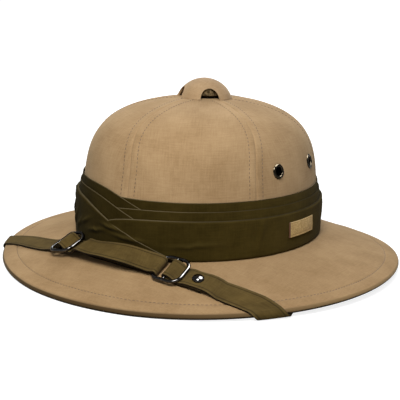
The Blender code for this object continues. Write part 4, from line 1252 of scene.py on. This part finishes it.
def walk_point(angle, walk, lift):
    """The point that lies a lift away from the hat, a walk down the brim, round its edge and back."""
    _, edge, way_out, normal = brim_section(angle)
    lift += STRAP_SLACK * min(max(walk / FOLD, 0.0), 1.0)
    if walk < FOLD:
        turn = math.pi * max(walk, 0.0) / FOLD
        out = way_out * math.sin(turn) + normal * math.cos(turn)
        return edge + way_out * min(walk, 0.0) + out * (BRIM_THICKNESS / 2 + lift)
    past = walk - walk_to_corner(angle)
    corner, _ = inner_corner(angle)
    if past < 0:
        return corner - normal * lift - way_out * past
    radius = STRAP_LIES + STRAP_SLACK
    quarter = math.acos(-way_out.z)
    turn = min(past / radius, quarter)
    bent = corner - (normal * math.cos(turn) + way_out * math.sin(turn)) * lift
    return bent + UP * max(past - quarter * radius, 0.0)


def walk_of(x, y, side):
    """The (angle, walk) of a point of the plan on the brim's upper or under side."""
    angle = math.degrees(math.atan2(x, -y))
    for _ in range(20):
        _, edge, way_out, _ = brim_section(angle)
        level = Vector((way_out.x, way_out.y))
        inward = (Vector((edge.x, edge.y)) - Vector((x, y))).dot(level) / level.dot(level)
        reached = edge - way_out * inward
        angle += math.degrees(math.atan2(x, -y) - math.atan2(reached.x, -reached.y))
    return Vector((angle, -inward if side == "top" else FOLD + inward))


class StrapLine:
    """The strap's middle line on the hat, read by the distance along it."""

    def __init__(self):
        rows = [walk_of(x * MM, y * MM, side) for x, y, side in STRAP_ROUTE]
        for side, place in ((-1, 0), (1, len(rows) + 1)):
            angle = side * STRAP_TAB_ANGLE
            rows.insert(place, Vector((angle, walk_to_corner(angle) + STRAP_INSIDE)))
        self.rows = curve_through(rows, ROUTE_STEPS)
        self.points = [walk_point(row[0], row[1], STRAP_LIES) for row in self.rows]
        self.lengths = [0.0]
        for here, there in zip(self.points, self.points[1:]):
            self.lengths.append(self.lengths[-1] + (there - here).length)
        self.length = self.lengths[-1]
        self.slider, self.ring = self.at_x(SLIDER_X), self.at_x(RING_X)
        starts = {"slider": self.slider, "ring": self.ring}
        self.tilts = [(starts[which] + past, tilt, rise) for which, past, tilt, rise in STRAP_TILTS]
        self.pulled = [self.slider + past for past in PULL_PLACES]

    def crossings(self, values, wanted):
        """The distances along the line where a value that its points have crosses the wanted one."""
        found = []
        for index, (here, there) in enumerate(zip(values, values[1:])):
            if min(here, there) <= wanted < max(here, there):
                span = self.lengths[index + 1] - self.lengths[index]
                found.append(self.lengths[index] + (wanted - here) / (there - here) * span)
        return found

    def at_x(self, x):
        return self.crossings([point.x for point in self.points], x)[0]

    def at_walk(self, walk, last):
        return self.crossings([row[1] for row in self.rows], walk)[-1 if last else 0]

    def chart(self, distance):
        distance = min(max(distance, 0.0), self.length)
        index = 0
        while index < len(self.lengths) - 2 and self.lengths[index + 1] < distance:
            index += 1
        span = self.lengths[index + 1] - self.lengths[index]
        return self.rows[index].lerp(self.rows[index + 1], (distance - self.lengths[index]) / span)

    def point(self, distance, across, lift):
        """A point beside the line. Across is positive on the crown's side of the upper stretch."""
        turned = 1 - smooth_step(abs(distance - self.slider), *TURN_SPREAD)
        distance -= across * SLIDER_TURN * turned
        row = self.chart(distance)
        ahead = self.chart(distance + CHART_REACH) - self.chart(distance - CHART_REACH)
        near, far = (walk_point(row[0] + half, row[1], STRAP_LIES) for half in (-0.5, 0.5))
        degree = (far - near).length
        run = Vector((ahead[0] * degree, ahead[1])).normalized()
        slant = smooth_step(row[1], SLANT_START, SLANT_FULL)
        shift = slant * across * run[0] / run[1] if slant else 0.0
        beside = Vector((row[0] + (run[1] * across + run[0] * shift) / degree, row[1]))
        beside[1] += run[1] * shift - run[0] * across
        tilt, rise = self.tilt(distance)
        lean = (tilt * across + rise) * smooth_step(lift, *UPPER_LAYERS)
        start, slack, level = self.pulled
        off = smooth_step(distance, start, start + PULL_EASE) * (1 - smooth_step(distance, slack, level))
        swell = self.swell(distance, row[1]) * (1 + across / (STRAP_WIDTH / 2)) / 2
        return walk_point(beside[0], beside[1], lift + PULL * off + lean + swell)

    def tilt(self, distance):
        """The tilt and the rise of the strap's upper layers at a distance."""
        for (here, *start), (there, *end) in zip(self.tilts, self.tilts[1:]):
            if here <= distance < there:
                share = smooth_step(distance, here, there)
                return [low + (high - low) * share for low, high in zip(start, end)]
        return 0.0, 0.0

    def swell(self, distance, walk):
        """How far the crown side stands up before the edge on the wearer's left."""
        if distance < self.length / 2:
            return 0.0
        start, full, fade = SWELL_WALKS
        return STRAP_SWELL * smooth_step(walk, start, full) * (1 - smooth_step(walk, fade, FOLD / 2))


def spread(start, end, step):
    """Distances from start to end, about a step apart, without the end."""
    count = max(int(abs(end - start) / step), 1)
    return [start + (end - start) * i / count for i in range(count)]


def level_run(start, end, lift):
    return [Vector((distance, lift)) for distance in spread(start, end, COARSE)]


def eased(start, end, low, high, step=FINE):
    """Side view points from (start, low) to (end, high) along an S-shaped rise."""
    points = []
    for distance in spread(start, end, step):
        share = (distance - start) / (end - start)
        points.append(Vector((distance, low + (high - low) * (0.5 - 0.5 * math.cos(math.pi * share)))))
    return points


def loop_round(distance, lift, radius, start, end, steps):
    """Part of a circle in the strap's side view. Angles in degrees, 0 ahead and 90 up."""
    turns = [math.radians(start + (end - start) * i / steps) for i in range(steps + 1)]
    return [Vector((distance + radius * math.cos(t), lift + radius * math.sin(t))) for t in turns]


def end_stretch(line, last):
    """Side view of one end: up inside the crown, along the brim's underside and round its edge."""
    corner = walk_to_corner(line.rows[-1 if last else 0][0])
    bend = STRAP_LIES + STRAP_SLACK
    walks = [corner + STRAP_INSIDE - 0.01 * MM, corner + STRAP_INSIDE * 0.55, corner + 2.5 * bend]
    walks += [corner + bend * share for share in CORNER_SHARES]
    walks += [FOLD + (corner - FOLD) * (1 - share / 14) for share in range(2, 14)]
    walks += [FOLD * step / 16 for step in range(16, -1, -1)]
    walks += [SLANT_START * share for share in SLANT_SHARES]
    profile = [Vector((line.at_walk(walk, last), STRAP_LIES)) for walk in walks]
    return profile[::-1] if last else profile


def long_strap_profile(line):
    """From the wearer's right temple, through the slider, to the ring, and doubled back."""
    slider, ring, hover = line.slider, line.ring, line.at_x(HOVER_X)
    wire = ring - FRAME_HALF_LENGTH
    crest = BAR_HEIGHT + BAR_SEAT + DOUBLE + CREST_SLACK
    first, second = slider - FRAME_HALF_LENGTH, slider + FRAME_HALF_LENGTH
    stands, soon = second + HOVER_RISE, HOVER_SOON * HOVER
    profile = end_stretch(line, False)
    profile += level_run(profile[-1][0] + COARSE, first, STRAP_LIES)
    profile += eased(first + 1 * MM, slider, STRAP_LIES, crest)
    profile += eased(slider, second - 1 * MM, crest, STRAP_LIES + DOUBLE)
    profile += [Vector((second, STRAP_LIES + DOUBLE))]
    profile += eased(second + 1 * MM, stands, STRAP_LIES + DOUBLE, soon, 2 * FINE)
    profile += eased(stands, hover, soon, HOVER, COARSE)
    profile += eased(hover, wire, HOVER, LOW_WIRE + WIRE_SEAT, COARSE)
    profile += loop_round(wire + LOOP_SLACK, LOW_WIRE, WIRE_SEAT, 90, -90, 16)
    profile += level_run(wire - 2 * MM, second - 2 * MM, STRAP_LIES)
    profile += eased(second - 2 * MM, slider, STRAP_LIES, BAR_HEIGHT - BAR_SEAT)
    profile += loop_round(slider, BAR_HEIGHT, BAR_SEAT, -90, -285, 18)
    return profile


def rivet_layers():
    """Heights of the two layers of strap that the rivet holds."""
    lower = PIECE_GAP + RIVET_WASHER + STRAP_LIES
    return lower, lower + DOUBLE


def short_strap_profile(line):
    """Folded round the ring's bar, riveted to itself, then over the brim's edge to the left temple."""
    ring, rivet = line.ring, line.at_x(RIVET_X)
    lower, upper = rivet_layers()
    wire = ring + FRAME_HALF_LENGTH
    before, past = rivet - RIVET_FLAT[0], rivet + RIVET_FLAT[1]
    profile = level_run(past - 0.5 * MM, before, lower)
    profile += eased(before, wire + 1 * MM, lower, STRAP_LIES)
    profile += eased(wire - 1 * MM, ring, STRAP_LIES, BAR_HEIGHT - BAR_SEAT)
    profile += loop_round(ring, BAR_HEIGHT, BAR_SEAT, -90, -270, 16)
    profile += eased(ring + 1 * MM, wire - 1 * MM, BAR_HEIGHT + BAR_SEAT, STRAP_LIES + DOUBLE)
    profile += eased(wire, before, STRAP_LIES + DOUBLE, upper)
    profile += level_run(before, past, upper)
    end = end_stretch(line, True)
    for distance in spread(past, end[0][0], COARSE):
        share = (distance - past) / (end[0][0] - past)
        profile.append(Vector((distance, upper + (STRAP_LIES - upper) * share**1.6)))
    return profile + end


def under_shift(distance, lift, across):
    """How much nearer the crown the run under the raised one lies. Its inner edge crumples there."""
    past_slider = distance - strap_line.slider - FRAME_HALF_LENGTH
    past_ring = distance - strap_line.ring + FRAME_HALF_LENGTH
    inner = smooth_step(past_slider, *UNDER_START) * (1 - smooth_step(past_ring, *UNDER_END))
    inner *= 1 - UNDER_LESS[1] * smooth_step(past_ring, UNDER_LESS[0], 0)
    low = 1 - smooth_step(lift, *UNDER_LAYERS)
    return UNDER_SHIFT * low * inner * (1 - UNDER_CRUMPLE * (1 + across / (STRAP_WIDTH / 2)))


webbing = cotton(
    "olive_strap_cotton", (0.061, 0.0385, 0.0098), (0.102, 0.0665, 0.0185), patches=60.0, slub=0.35,
    nap=0.2, bump=0.5, sheen=0.04, tint=(0.9, 0.8, 0.55), shine=0.06, place="UV",
)
# along the strap: a line pressed by the stitches, a rubbed edge, and a dark side that is partly its dark
# cut edge and partly painted shade
WEBBING_LINES = (
    # mm from the middle line where it starts and is full, and where it ends, colour, strength
    ((5.8, 6.2), (6.6, 7.0), (0.022, 0.015, 0.005), 0.7),
    ((7.3, 7.7), (8.1, 8.3), (0.115, 0.088, 0.042), 0.2),
    # its sides: a dark cut edge, darkened further as painted shade
    ((8.05, 8.4), (20.0, 21.0), (0.012, 0.007, 0.003), 1.0),
)
web_tree, web_shader, web_colour = colour_of(webbing)
_, web_parts = place_in(web_tree, "UV")
from_middle = calculate(web_tree, "ABSOLUTE", web_parts["Y"])
for (start, full), (fading, end), line_colour, strength in WEBBING_LINES:
    starts = rescale(web_tree, from_middle, start * MM, full * MM, 0.0, strength)
    ends = rescale(web_tree, from_middle, fading * MM, end * MM, 1.0, 0.0)
    amount = calculate(web_tree, "MULTIPLY", starts, ends)
    web_colour = mix_colours(web_tree, amount, web_colour, line_colour)
fill_in(web_shader, {"Base Color": web_colour})
strap_thread = sewing_thread("olive_thread", (0.010, 0.007, 0.003), (0.040, 0.028, 0.012))
strap_line = StrapLine()


def strap(name, profile, node, sewn):
    """A strap laid along its side view, sewn along both edges between two shares of its length."""
    lengths = [0.0]
    for here, there in zip(profile, profile[1:]):
        lengths.append(lengths[-1] + (there - here).length)

    def middle_at(index, across):
        distance, lift = profile[index]
        across += under_shift(distance, lift, across)
        return strap_line.point(distance, across, lift)

    def place(along, across):
        index = round(along * (len(profile) - 1))
        beside = STRAP_WIDTH * (across - 0.5)
        return middle_at(index, beside), (lengths[index], beside)

    piece = laid_cloth(name, len(profile) - 1, STRAP_CELLS, place)
    thicken(piece, STRAP_THICKNESS, 0)
    soften(piece, STRAP_ROUNDING, 3, 60)
    apply_modifiers(piece)
    settle(piece, webbing, "olive_webbing", node, degrees=60)
    lines = []
    for side in (-1, 1):
        across = side * (STRAP_WIDTH / 2 - STRAP_SEWING)
        line = []
        for index in range(len(profile) - 1):
            if sewn[0] <= index / len(profile) <= sewn[1]:
                here, there = middle_at(index, across), middle_at(index + 1, across)
                beside = middle_at(index, across + 1 * MM) - here
                out = beside.cross(there - here).normalized()
                line.append((here + out * (STRAP_THICKNESS / 2 + STITCH_LIFT), out))
        lines.append(line)
    stitches(name + "_sewing", lines, finish=strap_thread, slot="olive_webbing")


strap("chin_strap_long", long_strap_profile(strap_line), "chin_strap_right", (0.03, 0.99))
strap("chin_strap_short", short_strap_profile(strap_line), "chin_strap_left", (0.03, 0.97))

# --- Buckle and ring --------------------------------------------------------------------------------
# Two slides of bent steel wire with dark nickel plating, each with a thinner bar across its middle. The
# strap passes over and under them.

dark_nickel = metal("dark_nickel", (0.075, 0.072, 0.07), (0.5, 0.49, 0.47), 0.2, 0.1)
CORNER_BENDS = 10
WIRE_SIDES = 20
BAR_STEPS = 6  # on each side of its middle
SLIDER_ARCH = 2.8 * MM
RING_ARCH = 0.8 * MM


def wire(name, path, radius, closed):
    """A round wire along a path: a round tube whose sections are set square to the path."""
    count = len(path)
    if closed:
        torus = {"major_segments": count, "minor_segments": WIRE_SIDES}
        piece = primitive(bpy.ops.mesh.primitive_torus_add, name, **torus)
    else:
        piece = primitive(bpy.ops.mesh.primitive_grid_add, name)
    points = []
    for index, here in enumerate(path):
        ahead = path[(index + 1) % count] if closed else path[min(index + 1, count - 1)]
        behind = path[index - 1] if closed else path[max(index - 1, 0)]
        run = (ahead - behind).normalized()
        side = run.cross(UP).normalized()
        top = side.cross(run)
        for turn in range(WIRE_SIDES):
            around = 2 * math.pi * turn / WIRE_SIDES
            points.append(here + (side * math.cos(around) + top * math.sin(around)) * radius)
    if closed:
        for vertex, point in zip(piece.data.vertices, points):
            vertex.co = point
    else:
        piece.data.clear_geometry()
        faces = [list(range(WIRE_SIDES)), list(range((count - 1) * WIRE_SIDES, count * WIRE_SIDES))]
        for section in range(count - 1):
            for turn in range(WIRE_SIDES):
                here = section * WIRE_SIDES + turn
                beside = section * WIRE_SIDES + (turn + 1) % WIRE_SIDES
                faces.append([here, beside, beside + WIRE_SIDES, here + WIRE_SIDES])
        piece.data.from_pydata(points, [], faces)
    shape_all(bpy.ops.mesh.normals_make_consistent, inside=False)
    return piece


def slide(name, distance, node, arch, askew):
    """A slide of wire. Its rail beside the crown is arched, and it has turned on the strap."""

    def place(along, across):
        share = along / FRAME_HALF_LENGTH / 2 + 0.5
        arched = arch * max(across / FRAME_HALF_WIDTH, 0.0) * (1 - (along / FRAME_HALF_LENGTH) ** 2)
        lift = LOW_WIRE + (HIGH_WIRE - LOW_WIRE) * share + arched
        return strap_line.point(distance + along, across + askew * along, lift)

    path = []
    for along_side, across_side, start in ((1, 1, 0), (-1, 1, 90), (-1, -1, 180), (1, -1, 270)):
        along = along_side * (FRAME_HALF_LENGTH - FRAME_CORNER)
        across = across_side * (FRAME_HALF_WIDTH - FRAME_CORNER)
        for step in range(CORNER_BENDS + 1):
            bend = math.radians(start + 90 * step / CORNER_BENDS)
            ahead, beside = FRAME_CORNER * math.cos(bend), FRAME_CORNER * math.sin(bend)
            path.append(place(along + ahead, across + beside))
    hoop = wire(name + "_frame", path, WIRE_RADIUS, True)
    settle(hoop, dark_nickel, "strap_metal", node, degrees=60)
    steps = range(-BAR_STEPS, BAR_STEPS + 1)
    bar_path = [place(0, FRAME_HALF_WIDTH * step / BAR_STEPS) for step in steps]
    bar = wire(name + "_bar", bar_path, BAR_RADIUS, False)
    settle(bar, dark_nickel, "strap_metal", degrees=60)


slide("slider", strap_line.slider, "strap_slider", SLIDER_ARCH, SLIDER_TURN)
slide("ring", strap_line.ring, "strap_ring", RING_ARCH, 0.0)

# --- Rivet ------------------------------------------------------------------------------------------
# A domed steel rivet with dark nickel plating, set through both layers of the short strap.

RIVET_HEAD = 4.4 * MM
RIVET_RISE = 2.9 * MM
RIVET_EDGE = 0.35 * MM  # where the dome starts above its seat
RIVET_CHAMFER = 0.2 * MM
RIVET_SHANK = 1.7 * MM
RIVET_BACK = 3.5 * MM
lower_layer, upper_layer = rivet_layers()
seat = upper_layer + STRAP_THICKNESS / 2 + STITCH_LIFT
back = lower_layer - STRAP_THICKNESS / 2 - PIECE_GAP
rivet_profile = [
    (0.0, PIECE_GAP), (RIVET_BACK, PIECE_GAP), (RIVET_BACK, back), (RIVET_SHANK, back),
    (RIVET_SHANK, seat), (RIVET_HEAD - RIVET_CHAMFER, seat), (RIVET_HEAD, seat + RIVET_CHAMFER),
]
for lean in range(80, 0, -8):
    radius, rise = RIVET_HEAD * math.sin(math.radians(lean)), math.cos(math.radians(lean))
    rivet_profile.append((radius, seat + RIVET_EDGE + (RIVET_RISE - RIVET_EDGE) * rise))
rivet_profile.append((0.0, seat + RIVET_RISE))
rivet_distance = strap_line.at_x(RIVET_X)
low_point = strap_line.point(rivet_distance, 0.0, 0.0)
high_point = strap_line.point(rivet_distance, 0.0, 1.0 * MM)
rivet_matrix = Matrix.Translation(low_point) @ (
    (high_point - low_point).to_track_quat("Z", "Y").to_matrix().to_4x4()
)
rivet = turned_piece("rivet_head", rivet_profile, 40, rivet_matrix, False)
settle(rivet, dark_nickel, "strap_metal", "strap_rivet", degrees=50)

# --- Light and floor --------------------------------------------------------------------------------
# A plain pale floor, a soft light from the camera's side, a weaker one from behind on the wearer's
# right, and pale light from all round. A big lamp high on the wearer's left shows only in reflections.

FLOOR_SIZE = 30
FLOOR_GLOW = (0.2, 0.8, 0.84, 1.0)  # between these distances from the hat it goes from dim to full
SKY_LIGHT = 0.17
LIGHT_AIM = Vector((0, 0, 60)) * MM

floor, floor_tree, floor_shader = new_material("pale_floor")
floor_place = add_node(floor_tree, "ShaderNodeTexCoord").outputs["Object"]
from_hat = add_node(floor_tree, "ShaderNodeVectorMath", {0: floor_place}, operation="LENGTH")
glow = rescale(floor_tree, from_hat.outputs["Value"], *FLOOR_GLOW)
floor_seen = add_node(floor_tree, "ShaderNodeLightPath").outputs["Is Camera Ray"]
fill_in(floor_shader, {"Base Color": (0.35, 0.35, 0.35), "Roughness": 0.9, "Specular IOR Level": 0.0})
fill_in(floor_shader, {"Emission Color": (1, 1, 1)})
fill_in(floor_shader, {"Emission Strength": calculate(floor_tree, "MULTIPLY", glow, floor_seen)})
ground = primitive(bpy.ops.mesh.primitive_plane_add, "floor", size=FLOOR_SIZE)
ground.data.materials.append(floor)


def soft_light(name, around, above, distance, size, watts, colour=(1, 1, 1)):
    """A round soft light, aimed at the crown, at an angle round the hat and a height in degrees."""
    lamp = bpy.data.objects.new(name, bpy.data.lights.new(name, "AREA"))
    bpy.context.scene.collection.objects.link(lamp)
    lamp.data.shape = "DISK"
    lamp.data.size = size
    lamp.data.energy = watts
    lamp.data.color = colour
    turn, rise = math.radians(around), math.radians(above)
    way = Vector((math.sin(turn) * math.cos(rise), -math.cos(turn) * math.cos(rise), math.sin(rise)))
    lamp.location = LIGHT_AIM + way * distance
    lamp.rotation_euler = way.to_track_quat("Z", "Y").to_euler()
    return lamp


soft_light("key", around=26, above=47, distance=1.3, size=0.6, watts=19)
soft_light("behind", around=212, above=40, distance=1.4, size=0.9, watts=13, colour=(0.93, 0.97, 1.0))
overhead = soft_light("overhead", around=125, above=62, distance=1.3, size=1.1, watts=50)
overhead.visible_diffuse = False
world = bpy.data.worlds.new("studio")
bpy.context.scene.world = world
world.use_nodes = True
sky = world.node_tree
seen = add_node(sky, "ShaderNodeLightPath").outputs["Is Camera Ray"]
sky_light = rescale(sky, seen, 0.0, 1.0, SKY_LIGHT, 1.0)
fill_in(sky.nodes["Background"], {"Color": (1, 1, 1), "Strength": sky_light})
bpy.context.scene.view_settings.view_transform = "Standard"
